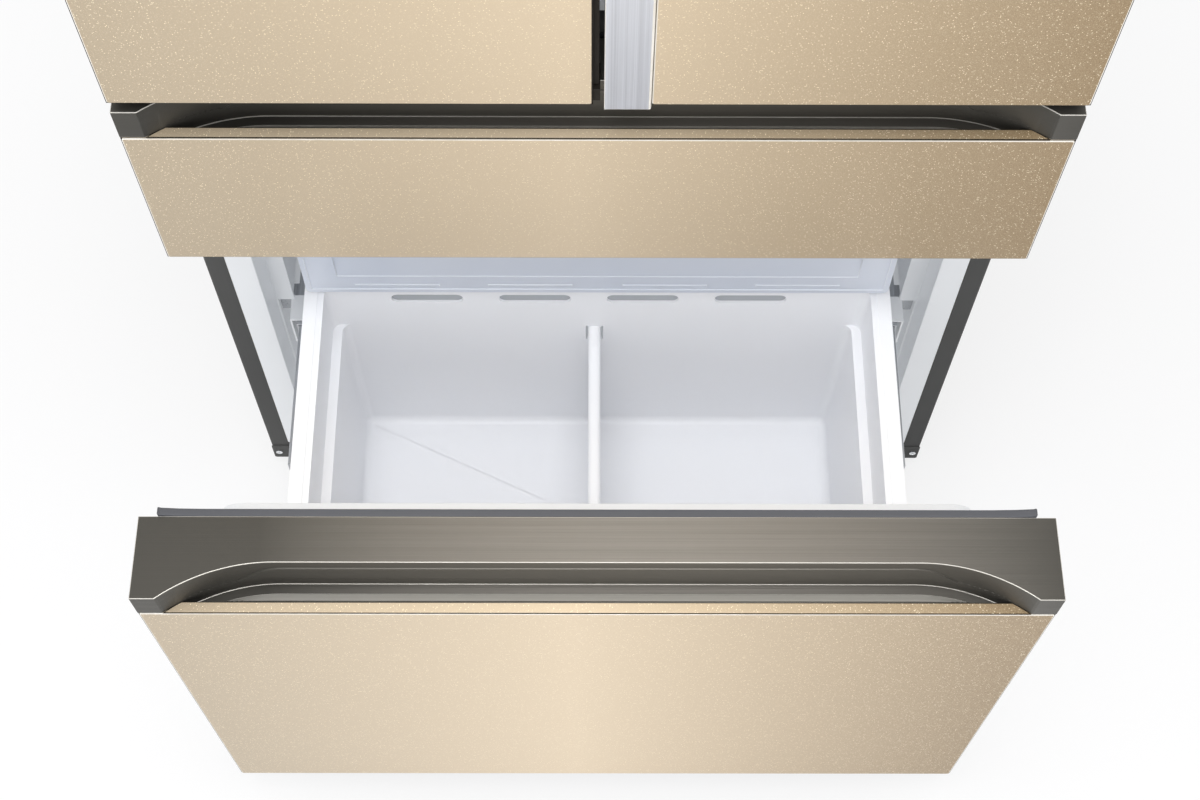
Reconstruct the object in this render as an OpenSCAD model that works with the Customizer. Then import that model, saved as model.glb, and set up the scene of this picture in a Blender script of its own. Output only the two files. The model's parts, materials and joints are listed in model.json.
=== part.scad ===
// Four-door refrigerator: two upper doors, a middle drawer and a freezer drawer pulled part way out.
// X is across, Y runs back and Z is up. Y is counted from the cabinet's front flange, and in_frame()
// then sets the part down with its origin on the floor under the middle of the whole object.

/* [Cabinet] */
// Width over the side walls
cab_w = 838; // [800:1:900]
// Depth from the front flange to the rear panel
cab_d = 640; // [620:1:720]
// Height of the top above the floor
cab_top = 1765; // [1750:1:1850]
// Height of the underside above the floor
cab_low = 30; // [28:1:34]
// Height of the chassis plate above the floor
chassis_z = 60; // [56:1:64]
// Thickness of the painted sheet
sheet_t = 1.2; // [0.8:0.1:2]
// Thickness of the moulded liners
liner_t = 2; // [1.5:0.1:3]
// Width of the flange that shows beside the liner
flange_w = 22.5; // [18:0.5:28]
// Fold radius of the wrapper's front edges
fold_r = 3; // [2:0.5:6]
// Height of the stamped beads on the rear panel
bead_h = 3; // [2:0.5:5]
// Number of beads on the rear panel
bead_n = 6; // [3:1:9]

/* [Compartments] */
// Thickness of a side wall with its sheet, foam and liner
side_wall = 54; // [46:0.5:64]
// Depth inside the liners
bay_d = 585; // [560:1:600]
// Floor of the fridge compartment, and the distance of its ceiling below the cabinet's top
fridge_low = 967; // [962:1:972]
fridge_roof = 50; // [40:1:70]
// Floor and ceiling of the middle drawer's bay
middle_low = 712; // [708:1:716]
middle_top = 893; // [888:1:898]
// Floor and ceiling of the freezer
freezer_low = 100; // [92:1:110]
freezer_top = 650; // [648:1:655]
// Height of a liner's lip on the cabinet front
lip_h = 14; // [10:1:20]
// Height of the freezer liner's bottom lip
base_lip_h = 28; // [20:1:30]
// Depth and sideways step of the wider mouth of each liner
mouth_d = 36; // [30:1:50]
mouth_step = 2; // [1:0.5:12]
// Depth of the freezer floor, in front of the step over the machine compartment
step_d = 390; // [370:1:410]
// Height of that step's top
step_z = 320; // [300:1:326]
// Foam between the freezer's step and the machine compartment
step_foam = 48; // [40:1:60]
// Foam beside the machine compartment
cheek_w = 18; // [10:1:30]

/* [Fronts] */
// Distance of the fronts' sides from the sides of the cabinet
front_in = 2.5; // [1:0.5:10]
// Thickness of a door without its gasket
front_t = 79.5; // [70:0.5:90]
// Space between the back of the doors and the cabinet
seal_gap = 8; // [7:0.5:10]
// Thickness of the glass
glass_t = 4; // [3:0.5:5]
// Width and depth of the bevel round the glass
bevel = 1.2; // [0.6:0.1:2]
// Corner radius of the glass
glass_r = 2.5; // [1.5:0.5:5]
// Width of the frame that shows round the glass
frame_edge = 0.8; // [0.5:0.1:2]
// Lowest point of the upper doors
door_low = 937.6; // [935:0.1:942]
// Distance of the upper doors' top below the cabinet's top
door_under = 4; // [3.5:0.5:20]
// Bottom and top of the middle drawer's glass
middle_glass_low = 684; // [682:0.5:690]
middle_glass_top = 888; // [880:0.5:890]
// Bottom and top of the freezer drawer's glass
freezer_glass_low = 85.6; // [82:0.1:90]
freezer_glass_top = 642; // [636:0.5:642]
// Right edge of the left door
left_edge = -4.9; // [-6:0.1:-4]
// Left edge of the right door's handle strip
right_edge = 4.3; // [3.5:0.1:6]
// Width of the handle strip
strip_w = 40.1; // [30:0.1:50]
// Height of the handle strip proud of the glass
strip_proud = 1.5; // [0.5:0.1:3]
// Length of the handle strip below the door
strip_drop = 4.1; // [1:0.1:6]
// Depth of the rims moulded on the inner panels
dyke_d = 30; // [20:1:34]
// Wall of those rims
dyke_w = 14; // [8:1:20]
// Width of the door gasket
gasket_w = 14.5; // [10:0.5:16]

/* [Grips] */
// Height of the grip cap
cap_h = 37; // [30:1:38]
// Depth of the scoop behind the front
scoop_d = 35; // [28:1:42]
// Distance from the end of the front to the end of the scoop
scoop_end = 22.5; // [15:0.5:60]
// Sideways run of the curve at each end of the scoop
scoop_run = 104; // [60:1:106]
// Depth of the finger pocket below the glass top
pocket_h = 17; // [10:1:24]
// Depth of the gold lip in front of the pocket
lip_d = 11; // [8:0.5:16]
// Width of the pocket's flat floor
pocket_floor = 10.5; // [6:0.5:14]

/* [Freezer drawer] */
// Distance that the drawer stands open
drawer_out = 348; // [300:1:360]
// Space between the basket's rim and the drawer's slide members
basket_gap = 4.5; // [2:0.5:12]
// Width of the rim
basket_rim = 20; // [16:1:26]
// Height of the rim and of the inside floor
basket_top = 560; // [540:1:564]
basket_floor = 250; // [230:1:300]
// Inside length of the basket
basket_len = 273; // [240:1:330]
// Height and width of the ledge in its side walls
ledge_z = 481; // [440:1:520]
ledge_w = 10; // [6:1:14]
// Draft of the walls below the ledge, and the fillet round the floor
basket_draft = 2; // [1:0.5:4]
floor_fillet = 6; // [4:1:12]
// Wall of the basket
basket_t = 3; // [2:0.5:4]
// Corner radius inside the basket
basket_r = 14; // [12:1:30]
// Length, height and spacing of the slots in the basket's back
slot_l = 75; // [50:1:90]
slot_h = 16; // [8:1:18]
slot_pitch = 113; // [95:1:120]
// Offset of the row of slots from the middle
slot_x = -9; // [-14:1:14]
// Thickness and height of the basket divider
divider_t = 13; // [8:1:16]
divider_top = 479; // [400:1:520]
// Offset of the divider from the middle
divider_x = -3; // [-20:1:20]
// Distance of the inner tray's sides from the sides of the bay
tray_in = 65.5; // [60:0.5:80]
// Bottom of the inner tray
tray_low = 569; // [568:1:574]
// Height and length of the inner tray
tray_h = 74; // [60:1:76]
tray_len = 430; // [350:1:440]
// Distance from the flange to the tray's front when the drawer stands open as shown
tray_out = 60; // [40:1:70]
// Middle height of the telescopic slides
slide_z = 359; // [352:1:366]
// Distance of a slide's fixed member from the side of the bay
rail_in = 23; // [21:0.5:26]
// Width of the bulge in the bay's side above the slide
bulge_w = 19; // [12:1:22]
// Length of each slide member
slide_len = 450; // [420:1:480]

/* [Middle drawer] */
// Distance of the drawer box's sides from the sides of the bay
box_in = 39; // [37:0.5:50]
// Length of the drawer box
box_len = 440; // [380:1:470]
// Middle height of the middle drawer's slides
middle_slide_z = 760; // [755:1:780]
// Length of those slides
middle_slide_len = 440; // [400:1:460]

/* [Fridge interior] */
// Bottom of the lowest shelf, which covers the crispers
crisper_shelf_z = 1086; // [1080:1:1100]
// Height above the top shelf, as a share of the spacing of the shelves
shelf_share = 0.8; // [0.6:0.05:1]
// Number of shelves above it
shelf_n = 3; // [2:1:3]
// Front edge of the shelves
shelf_front = 160; // [150:1:200]
// Distance of the shelves from the back of the bay
shelf_back = 25; // [20:1:60]
// Front of the crisper drawers
crisper_front = 122; // [120:1:140]
// Distance of the crisper drawers from the back of the bay
crisper_back = 43; // [25:1:80]
// Height of the crisper drawers
crisper_h = 100; // [80:1:102]
// Reach of the upper and of the lowest door bins behind the flange
bin_reach = 105; // [80:1:110]
low_bin_reach = 55; // [45:1:56]

/* [Hinges and feet] */
// Distance of the hinge axis from the door's outer side
hinge_in = 12; // [10:0.5:16]
// Distance of the hinge axis in front of the flange
hinge_y = 48; // [44:1:52]
// Radius of the hinge pins
pin_r = 4.5; // [4:0.1:6]
// Radial clearance of pins in their bores
pin_clear = 0.06; // [0.03:0.01:0.09]
// Height, width and reach in front of and behind the flange of the hinge covers
cover_h = 25; // [18:1:30]
cover_w = 40; // [36:1:50]
cover_front = 74; // [66:1:84]
cover_rear = 100; // [90:1:140]
// Distance of the feet and rollers from the sides of the cabinet
foot_in = 49; // [40:1:80]
// Radius of a rear roller
roller_r = 20; // [16:1:24]

/* [Hidden] */
$fn = 48;

// Margin by which a cutting body passes the face that it cuts
cut = 1;
// Clearance between pieces that move past each other
run_gap = 0.3;
// Clearance between the telescopic slide sections
slide_gap = 0.5;

cab_half = cab_w / 2;
inner_half = cab_half - sheet_t;
lip_half = cab_half - flange_w;
bay_half = cab_half - side_wall;
mouth_half = bay_half + mouth_step;
front_half = cab_half - front_in;
front_w = 2 * front_half;
fridge_top = cab_top - fridge_roof;
door_top = cab_top - door_under;
shelf_pitch = (fridge_top - crisper_shelf_z) / (shelf_n + shelf_share);
back_y = -seal_gap;
front_y = back_y - front_t;
glass_y = front_y + glass_t;
panel_t = 2;
panel_y = back_y - panel_t;
base_low = freezer_low - base_lip_h;
machine_z = step_z - liner_t - step_foam;
machine_y = step_d + liner_t + step_foam;
machine_half = inner_half - cheek_w;
hinge_x = front_half - hinge_in;
bore_r = pin_r + pin_clear;
hinge_depth = 12;
collar_r = pin_r + 4.5;
gasket_half = front_half - hinge_in;
gasket_y = -run_gap;
dyke_half = bay_half - hinge_in;
dyke_y = back_y + dyke_d;
dyke_in = 45;
centre_in = 8;
middle_cap_top = middle_glass_top + cap_h;
freezer_cap_top = freezer_glass_top + cap_h;
rear_reach = cab_d + bead_h;
front_reach = -front_y + drawer_out;
flange_y = (front_reach - rear_reach) / 2;
slide_travel = drawer_out / 2;
shelf_len = bay_d - shelf_back - shelf_front;
crisper_len = bay_d - crisper_back - crisper_front;
scoop_straight = front_half - scoop_end - scoop_run;
tray_half = bay_half - tray_in;
box_half = bay_half - box_in;
foot_x = cab_half - foot_in;

// Sections across the telescopic slides
rail_w = 22;
rail_h = 46;
rail_wall = 2.5;
fixed_x = [bay_half - rail_in - rail_w, bay_half - rail_in];
moving_x = [fixed_x[0] - 6, fixed_x[1] - rail_wall - slide_gap];
moving_h = rail_h - 2 * rail_wall - 2 * slide_gap;
drawer_x = [fixed_x[0] - 12, moving_x[1] - rail_wall - slide_gap];
drawer_h = moving_h - 2 * rail_wall - 2 * slide_gap;
slide_y = 4;
middle_fixed_x = [box_half + 10, bay_half];
middle_rail_h = 34;
basket_half = drawer_x[0] - basket_gap;

module in_frame() translate([0, flange_y, 0]) children();
module drawn_out(s) translate([0, -s, 0]) children();
module pair() {
    children();
    mirror([1, 0, 0]) children();
}
module box(lo, hi) translate(lo) cube(hi - lo);
module along_x(x0, x1) translate([x0, 0, 0]) rotate([90, 0, 90]) linear_extrude(x1 - x0) children();
module along_y(y0, y1) translate([0, y1, 0]) rotate([90, 0, 0]) linear_extrude(y1 - y0) children();
module along_z(z0, z1) translate([0, 0, z0]) linear_extrude(z1 - z0) children();

// A rectangle between two corners with true round corners
module round_rect(lo, hi, r) {
    translate([lo.x + r, lo.y]) square([hi.x - lo.x - 2 * r, hi.y - lo.y]);
    translate([lo.x, lo.y + r]) square([hi.x - lo.x, hi.y - lo.y - 2 * r]);
    for (x = [lo.x + r, hi.x - r], y = [lo.y + r, hi.y - r]) translate([x, y]) circle(r);
}

// A rectangular frame of even width
module frame_2d(lo, hi, w, r) {
    difference() {
        round_rect(lo, hi, r);
        round_rect(lo + [w, w], hi - [w, w], max(r - w, 0.5));
    }
}

// A slot with round ends, centred
module slot_2d(l, h) {
    square([l - h, h], center = true);
    for (s = [-1, 1]) translate([s * (l - h) / 2, 0]) circle(h / 2);
}

// Cabinet

module outer_wrapper() color("#55565a") {
    along_z(cab_low, cab_top - sheet_t) difference() {
        round_rect([-cab_half, 0], [cab_half, cab_d + fold_r], fold_r);
        translate([-inner_half, sheet_t]) square([2 * inner_half, cab_d + cut]);
        translate([-lip_half, -cut]) square([2 * lip_half, sheet_t + 2 * cut]);
        translate([-cab_w, cab_d]) square([2 * cab_w, fold_r + cut]);
    }
    along_z(cab_top - sheet_t, cab_top) difference() {
        round_rect([-cab_half, 0], [cab_half, cab_d + fold_r], fold_r);
        translate([-cab_w, cab_d]) square([2 * cab_w, fold_r + cut]);
    }
    box([-lip_half, 0, fridge_top + lip_h], [lip_half, sheet_t, cab_top - sheet_t]);
}

module rear_panel() color("#8f9194") {
    bead_w = 6 * bead_h;
    box([-inner_half, cab_d - sheet_t, machine_z], [inner_half, cab_d, cab_top - sheet_t]);
    for (i = [0 : bead_n - 1])
        translate([(i - (bead_n - 1) / 2) * cab_w / (bead_n + 1), 0, 0])
            along_z(machine_z + 4 * lip_h, cab_top - 4 * lip_h)
                polygon([[-bead_w / 2, cab_d], [bead_w / 2, cab_d],
                         [bead_w / 2 - bead_h, rear_reach], [-bead_w / 2 + bead_h, rear_reach]]);
}

// The space that a liner takes in the foam, grown by a wall where the outer skin is wanted
module bay_space(low, top, wall) {
    box([-mouth_half - wall, -cut, low - wall], [mouth_half + wall, mouth_d + wall, top + wall]);
    box([-bay_half - wall, 0, low - wall], [bay_half + wall, bay_d + wall, top + wall]);
}

module freezer_space(wall) {
    box([-mouth_half - wall, -cut, freezer_low - wall],
        [mouth_half + wall, mouth_d + wall, freezer_top + wall]);
    box([-bay_half - wall, 0, freezer_low - wall],
        [bay_half + wall, step_d + wall, freezer_top + wall]);
    box([-bay_half - wall, step_d - cut, step_z - wall],
        [bay_half + wall, bay_d + wall, freezer_top + wall]);
}

module insulation() color("#e9dfb8") difference() {
    box([-inner_half, sheet_t, chassis_z], [inner_half, cab_d - sheet_t, cab_top - sheet_t]);
    box([-lip_half, 0, chassis_z - cut], [lip_half, max(liner_t, sheet_t), fridge_top + lip_h]);
    bay_space(fridge_low, fridge_top, liner_t);
    bay_space(middle_low, middle_top, liner_t);
    freezer_space(liner_t);
    box([-bay_half - liner_t, 0, step_z], [bay_half + liner_t, bay_d + liner_t, fridge_top]);
    box([-machine_half, machine_y, 0], [machine_half, cab_d, machine_z]);
}

module divider_foam() color("#efe8cf") {
    for (z = [[freezer_top, middle_low], [middle_top, fridge_low]])
        box([-bay_half - liner_t, max(liner_t, sheet_t), z[0] + liner_t],
            [bay_half + liner_t, bay_d + liner_t, z[1] - liner_t]);
}

module lip_plate(low, top)
    box([-lip_half, 0, low], [lip_half, liner_t, top]);

// Cleats under the shelves, and the strips that the crispers run on
cleat_w = 10;
cleat_h = 8;
cleat_in = 20;
cleat_x = 30;
shelf_rim = 14;

module fridge_liner() color("#f4f6f7") {
    difference() {
        union() {
            lip_plate(fridge_low - lip_h, fridge_top + lip_h);
            intersection() {
                bay_space(fridge_low, fridge_top, liner_t);
                box([-cab_w, 0, 0], [cab_w, cab_d, cab_top]);
            }
        }
        bay_space(fridge_low, fridge_top, 0);
    }
    for (i = [0 : shelf_n]) pair()
        box([bay_half - shelf_rim, shelf_front + cleat_in, shelf_z(i) - cleat_h],
            [bay_half, shelf_front + shelf_len - cleat_in, shelf_z(i)]);
    for (x = [cleat_x, bay_half - cleat_x - cleat_w]) pair()
        box([x, crisper_front + cleat_in, fridge_low],
            [x + cleat_w, crisper_front + crisper_len - cleat_in, crisper_z - run_gap]);
}

module middle_liner() color("#f4f6f7") difference() {
    union() {
        lip_plate(middle_low - lip_h, middle_top + lip_h);
        intersection() {
            bay_space(middle_low, middle_top, liner_t);
            box([-cab_w, 0, 0], [cab_w, cab_d, cab_top]);
        }
    }
    bay_space(middle_low, middle_top, 0);
}

module freezer_liner() color("#f4f6f7") difference() {
    union() {
        lip_plate(base_low, freezer_top + lip_h);
        intersection() {
            freezer_space(liner_t);
            box([-cab_w, 0, 0], [cab_w, cab_d, cab_top]);
        }
    }
    freezer_space(0);
}

module cross_rails() color("#55565a") {
    for (z = [[freezer_top + lip_h, middle_low - lip_h], [middle_top + lip_h, fridge_low - lip_h],
              [chassis_z, base_low]])
        box([-lip_half, 0, z[0]], [lip_half, max(liner_t, sheet_t), z[1]]);
    box([-lip_half, 0, cab_low], [lip_half, sheet_t, chassis_z]);
}

foot_y = 60;
roller_in = 80;
roller_y = cab_d - roller_in;
boss_r = 12;
stem_r = 5;
axle_r = 4;
roller_w = 18;
ear_t = 3;

module base_pan() color("#6d6f73") {
    plate_z = chassis_z - sheet_t;
    difference() {
        box([-inner_half, sheet_t, cab_low], [inner_half, cab_d, chassis_z]);
        box([-inner_half + sheet_t, 2 * sheet_t, cab_low - cut],
            [inner_half - sheet_t, cab_d - sheet_t, plate_z]);
    }
    pair() difference() {
        translate([foot_x, foot_y, cab_low + 4]) cylinder(r = boss_r, h = plate_z - cab_low - 4);
        translate([foot_x, foot_y, cab_low]) cylinder(r = stem_r + pin_clear, h = foot_top - cab_low + 1);
    }
    pair() for (s = [-1, 1]) difference() {
        along_x(foot_x + s * (roller_w / 2 + ear_t / 2 + run_gap) - ear_t / 2,
                foot_x + s * (roller_w / 2 + ear_t / 2 + run_gap) + ear_t / 2) {
            translate([roller_y - boss_r, roller_r]) square([2 * boss_r, plate_z - roller_r]);
            translate([roller_y, roller_r]) circle(boss_r);
        }
        translate([foot_x + s * (roller_w / 2 + ear_t), roller_y, roller_r])
            rotate([0, 90, 0]) cylinder(r = axle_r + pin_clear, h = 3 * ear_t, center = true);
    }
}

vent_l = 60;
vent_h = 6;
inlet_in = 88;
inlet_x = inlet_in - inner_half;
inlet_z = 200;
inlet_r = 11;
inlet_bore = 4.5;

module machine_cover() color("#8f9194") difference() {
    box([-inner_half, cab_d - sheet_t, chassis_z], [inner_half, cab_d, machine_z]);
    along_y(cab_d - sheet_t - cut, cab_d + cut) {
        for (i = [-2 : 2], j = [0 : 6])
            translate([i * 1.6 * vent_l + vent_l / 2, chassis_z + (7 + 3.4 * j) * vent_h])
                slot_2d(vent_l, vent_h);
        translate([inlet_x, inlet_z]) circle(inlet_r);
    }
}

module cord_inlet() color("#2b2c2e") difference() {
    translate([inlet_x, 0, inlet_z]) {
        along_y(cab_d, cab_d + bead_h) circle(inlet_r + 3);
        along_y(cab_d - 4, cab_d) circle(inlet_r);
    }
    translate([inlet_x, 0, inlet_z]) along_y(cab_d - 4 - cut, cab_d + bead_h + cut) circle(inlet_bore);
}

compressor_r = 82;
compressor_h = 176;
compressor_x = 170;
dome_r = 30;
mount_h = 8;
mount_r = 11;
sole = [78, 70, 3];
pipe_r = 5;
pipe_out = 16;
pipe_z = [20, 90];

module compressor() color("#2f3033")
translate([compressor_x, (machine_y + cab_d) / 2, chassis_z + mount_h]) {
    rotate_extrude() intersection() {
        round_rect([-compressor_r, 0], [compressor_r, compressor_h], dome_r);
        square([compressor_r + cut, compressor_h + cut]);
    }
    box([-sole.x, -sole.y, 0], sole);
    for (x = [-1, 1], y = [-1, 1]) translate([x * (sole.x - mount_r), y * (sole.y - mount_r), -mount_h])
        cylinder(r = mount_r, h = mount_h);
    translate([-compressor_r - pipe_out, 0, 0]) {
        translate([0, 0, pipe_z[1]]) rotate([0, 90, 0]) cylinder(r = pipe_r, h = pipe_out + dome_r);
        along_z(pipe_z[0], pipe_z[1] + pipe_r) circle(pipe_r);
    }
}

// Hinges, brackets and screws

bracket_t = 4;
bracket_r = 8;
bracket_in = 20;
bracket_rear = 85;
cover_wall = 2;
cover_in = 3;
cover_x = [cab_half - cover_in - cover_w, cab_half - cover_in];
screw_r = 2.2;
screw_head_r = 4.2;
screw_head_h = 2;
screw_in = 6;
top_screw_y = [20, 45, 70];
corner_t = 1.5;
corner_h = 34;
corner_tab = [5, 10];
corner_screw = [cab_half - 8, cab_low + corner_h / 2 + 1];

module hinge_pin(low, top) translate([hinge_x, -hinge_y, low]) cylinder(r = pin_r, h = top - low);
module hinge_collar(low, top) translate([hinge_x, -hinge_y, low]) cylinder(r = collar_r, h = top - low);

// The plate of a hinge bracket, round at the pin
module bracket_plate(low, rear) along_z(low, low + bracket_t) {
    translate([hinge_x - bracket_in, -hinge_y]) square([bracket_in + bracket_r, hinge_y + rear]);
    translate([hinge_x, -hinge_y]) circle(bracket_r);
    translate([hinge_x - bracket_in, -hinge_y - bracket_r]) square([bracket_in, bracket_r + cut]);
}

module top_hinge_brackets() color("#9a9c9f") pair() {
    difference() {
        bracket_plate(cab_top, bracket_rear);
        for (y = top_screw_y) translate([hinge_x - screw_in, y, cab_top - cut])
            cylinder(r = screw_r + 0.1, h = bracket_t + 2 * cut);
    }
    hinge_collar(door_top + run_gap, cab_top);
    hinge_pin(door_top - hinge_depth + 2, cab_top);
}

module top_hinge_covers() color("#55565a") pair() difference() {
    along_z(cab_top, cab_top + cover_h) round_rect([cover_x[0], -cover_front], [cover_x[1], cover_rear], 8);
    along_z(cab_top - cut, cab_top + cover_h - cover_wall)
        round_rect([cover_x[0] + cover_wall, -cover_front + cover_wall],
                   [cover_x[1] - cover_wall, cover_rear - cover_wall], 6);
}

middle_bracket_z = middle_cap_top + 3;
middle_plate_t = 3;
middle_plate_z = [middle_cap_top, door_low + 6];
middle_screw_x = [-14, 3];
middle_screw_z = door_low + 1;

module middle_hinge_brackets() color("#55565a") pair() {
    difference() {
        box([hinge_x - bracket_in, -middle_plate_t, middle_plate_z[0]],
            [hinge_x + bracket_r + 1, 0, middle_plate_z[1]]);
        for (x = middle_screw_x) translate([hinge_x + x, 0, middle_screw_z])
            along_y(-middle_plate_t - cut, cut) circle(screw_r + 0.1);
    }
    bracket_plate(middle_bracket_z, 0);
    hinge_collar(middle_bracket_z + bracket_t, door_low - run_gap);
    hinge_pin(middle_bracket_z + bracket_t, door_low + hinge_depth - 2);
}

module corner_brackets() color("#4a4b4f") pair() difference() {
    along_y(-corner_t, 0) {
        round_rect([lip_half + 0.5, cab_low], [cab_half, cab_low + corner_h], 3);
        round_rect([lip_half - corner_tab.x, cab_low + corner_h - corner_tab.y],
                   [lip_half + corner_tab.y, cab_low + corner_h], 1.5);
    }
    translate([corner_screw.x, 0, corner_screw.y]) along_y(-corner_t - cut, cut) circle(screw_r + 0.1);
}

// A pan-head screw that stands on the plane z = 0, its shank below
module screw(shank) difference() {
    union() {
        cylinder(r = screw_head_r, h = screw_head_h);
        translate([0, 0, -shank]) cylinder(r = screw_r, h = shank + 0.5);
    }
    for (a = [0, 90]) rotate(a) translate([-2.4, -0.5, screw_head_h - 1.2]) cube([4.8, 1, 2]);
}

module screws() color("#d8d9dc") pair() {
    translate([corner_screw.x, -corner_t, corner_screw.y]) rotate([90, 0, 0]) screw(corner_t);
    for (y = top_screw_y) translate([hinge_x - screw_in, y, cab_top + bracket_t]) screw(bracket_t);
    for (x = middle_screw_x) translate([hinge_x + x, -middle_plate_t, middle_screw_z])
        rotate([90, 0, 0]) screw(middle_plate_t);
}

// Fridge compartment

function shelf_z(i) = crisper_shelf_z + i * shelf_pitch;
crisper_z = fridge_low + 9;
shelf_h = 16;
shelf_half = bay_half - 5;
shelf_glass_t = 4;
shelf_lap = 8;

// The place of a shelf's glass, which laps onto the frame; rise lets it cut through the top
module glass_space(i, rise) {
    edge = shelf_rim - shelf_lap;
    box([-shelf_half + edge, shelf_front + edge, shelf_z(i) + shelf_h - shelf_glass_t],
        [shelf_half - edge, shelf_front + shelf_len - edge, shelf_z(i) + shelf_h + rise]);
}

module shelf_frames() color("#dfe3e6") for (i = [0 : shelf_n]) difference() {
    along_z(shelf_z(i), shelf_z(i) + shelf_h)
        frame_2d([-shelf_half, shelf_front], [shelf_half, shelf_front + shelf_len], shelf_rim, 8);
    glass_space(i, cut);
}

module shelf_glasses() color("#cfe6e2") for (i = [0 : shelf_n]) glass_space(i, 0);

duct_half = 110;
duct_t = 18;
duct_in = 20;
louvre_l = 70;
louvre_h = 10;
louvre_deep = 8;

module fridge_duct_cover() color("#eceff1") difference() {
    along_z(crisper_shelf_z + shelf_h, fridge_top - duct_in)
        round_rect([-duct_half, bay_d - duct_t], [duct_half, bay_d], 6);
    along_y(bay_d - duct_t - cut, bay_d - duct_t + louvre_deep)
        for (i = [0 : shelf_n - 1], s = [-1, 1])
            translate([s * duct_half / 2, shelf_z(i) + shelf_pitch / 2 + 2 * louvre_h])
                slot_2d(louvre_l, louvre_h);
}

module freezer_duct_cover() color("#eceff1") difference() {
    box([-bay_half + duct_in, bay_d - duct_t, step_z + duct_in],
        [bay_half - duct_in, bay_d, freezer_top - duct_in]);
    along_y(bay_d - duct_t - cut, bay_d - duct_t + louvre_deep)
        for (i = [-2 : 2], j = [0 : 3])
            translate([i * 1.6 * louvre_l, step_z + duct_in + (3 + j) * 2.4 * louvre_h])
                slot_2d(louvre_l, louvre_h);
}

tub_t = 3;
tub_r = 12;
crisper_face = 10;
crisper_in = 12;
crisper_apart = 8;

// A crisper drawer between two sides, with a grip slot in its front
module crisper(x0, x1) {
    z1 = crisper_z + crisper_h;
    y1 = crisper_front + crisper_len;
    grip_h = 0.3 * crisper_h;
    difference() {
        along_z(crisper_z, z1) round_rect([x0, crisper_front], [x1, y1], tub_r);
        along_z(crisper_z + tub_t, z1 + cut)
            round_rect([x0 + tub_t, crisper_front + crisper_face], [x1 - tub_t, y1 - tub_t], tub_r - 2);
        translate([(x0 + x1) / 2, 0, z1 - grip_h / 5])
            along_y(crisper_front - cut, crisper_front + crisper_face + cut) slot_2d((x1 - x0) / 2, grip_h);
    }
}

module crisper_left() color("#dbe7ef") crisper(-bay_half + crisper_in, -crisper_apart);
module crisper_right() color("#dbe7ef") crisper(crisper_apart, bay_half - crisper_in);

// Fronts

// Glass with a narrow bevel, its front in the plane of the doors
module glass_pane(x0, x1, z0, z1) hull() {
    along_y(front_y, front_y + 0.1)
        round_rect([x0 + bevel, z0 + bevel], [x1 - bevel, z1 - bevel], glass_r, $fn = 24);
    along_y(front_y + bevel / 2, glass_y) round_rect([x0, z0], [x1, z1], glass_r, $fn = 24);
}

// The foamed panel behind a glass, with the shallow frame that the glass sits in
module panel_body(x0, x1, z0, z1, glass_x0, glass_x1, glass_z1) difference() {
    box([x0, front_y + bevel, z0], [x1, panel_y, z1]);
    box([glass_x0, front_y, z0 + frame_edge], [glass_x1, glass_y, glass_z1]);
}

// Bellows gasket: a foot in the panel, a neck and the magnet face
module gasket_ring(lo, hi) {
    foot = [2, 2];
    neck = [4, 4];
    face_t = 3;
    along_y(back_y, back_y + foot.y) frame_2d(lo + foot, hi - foot, gasket_w - 2 * foot.x, 3);
    along_y(back_y + foot.y, gasket_y - face_t) frame_2d(lo + neck, hi - neck, gasket_w / 2, 3);
    along_y(gasket_y - face_t, gasket_y) frame_2d(lo, hi, gasket_w, 4);
}

// Inner panel: a flat back and a raised rim, whose corners are round
module inner_panel(lo, hi, rim_lo, rim_hi) {
    along_y(panel_y, back_y) round_rect(lo, hi, 4);
    along_y(back_y, dyke_y) frame_2d(rim_lo, rim_hi, dyke_w, 22);
}

door_glass_top = door_top - frame_edge;
door_rim_low = fridge_low + 13;
door_rim_top = fridge_top - 13;
bin_h = 100;
bin_lift = 20;
bin_pitch = (door_rim_top - door_rim_low - 2 * bin_lift - 2 * bin_h) / 2;
ridge_in = 9;
ridge_w = 23;
ridge_y = [front_y + ridge_in, front_y + ridge_in + ridge_w];
ridge_h = 16;

module door_bore(x) {
    translate([x, -hinge_y, door_low - cut]) cylinder(r = bore_r, h = hinge_depth + cut);
    translate([x, -hinge_y, door_top - hinge_depth]) cylinder(r = bore_r, h = hinge_depth + cut);
}

module left_door_body() color("#4c4a48") {
    difference() {
        panel_body(-front_half, left_edge, door_low, door_top,
                   -front_half + frame_edge, left_edge - frame_edge / 2, door_glass_top);
        door_bore(-hinge_x);
    }
    box([left_edge, ridge_y[0], door_low + ridge_h + 2], [left_edge + 5, ridge_y[1], door_top]);
    box([left_edge, ridge_y[0] - 4, door_low], [left_edge + 6, ridge_y[1], door_low + ridge_h]);
}

module left_door_glass() color("#d9c29a")
    glass_pane(-front_half + frame_edge, left_edge - frame_edge / 2, door_low + frame_edge, door_glass_top);

mullion_pivot = [-28, 8];
bar_t = 12;
bar_w = 55;
ear_low = fridge_low + 2;
ear_top = fridge_top - 2;
ear_h = 7;
ear_r = 5.5;
mullion_pin_r = 3;
mullion_pin_l = 8;

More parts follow.
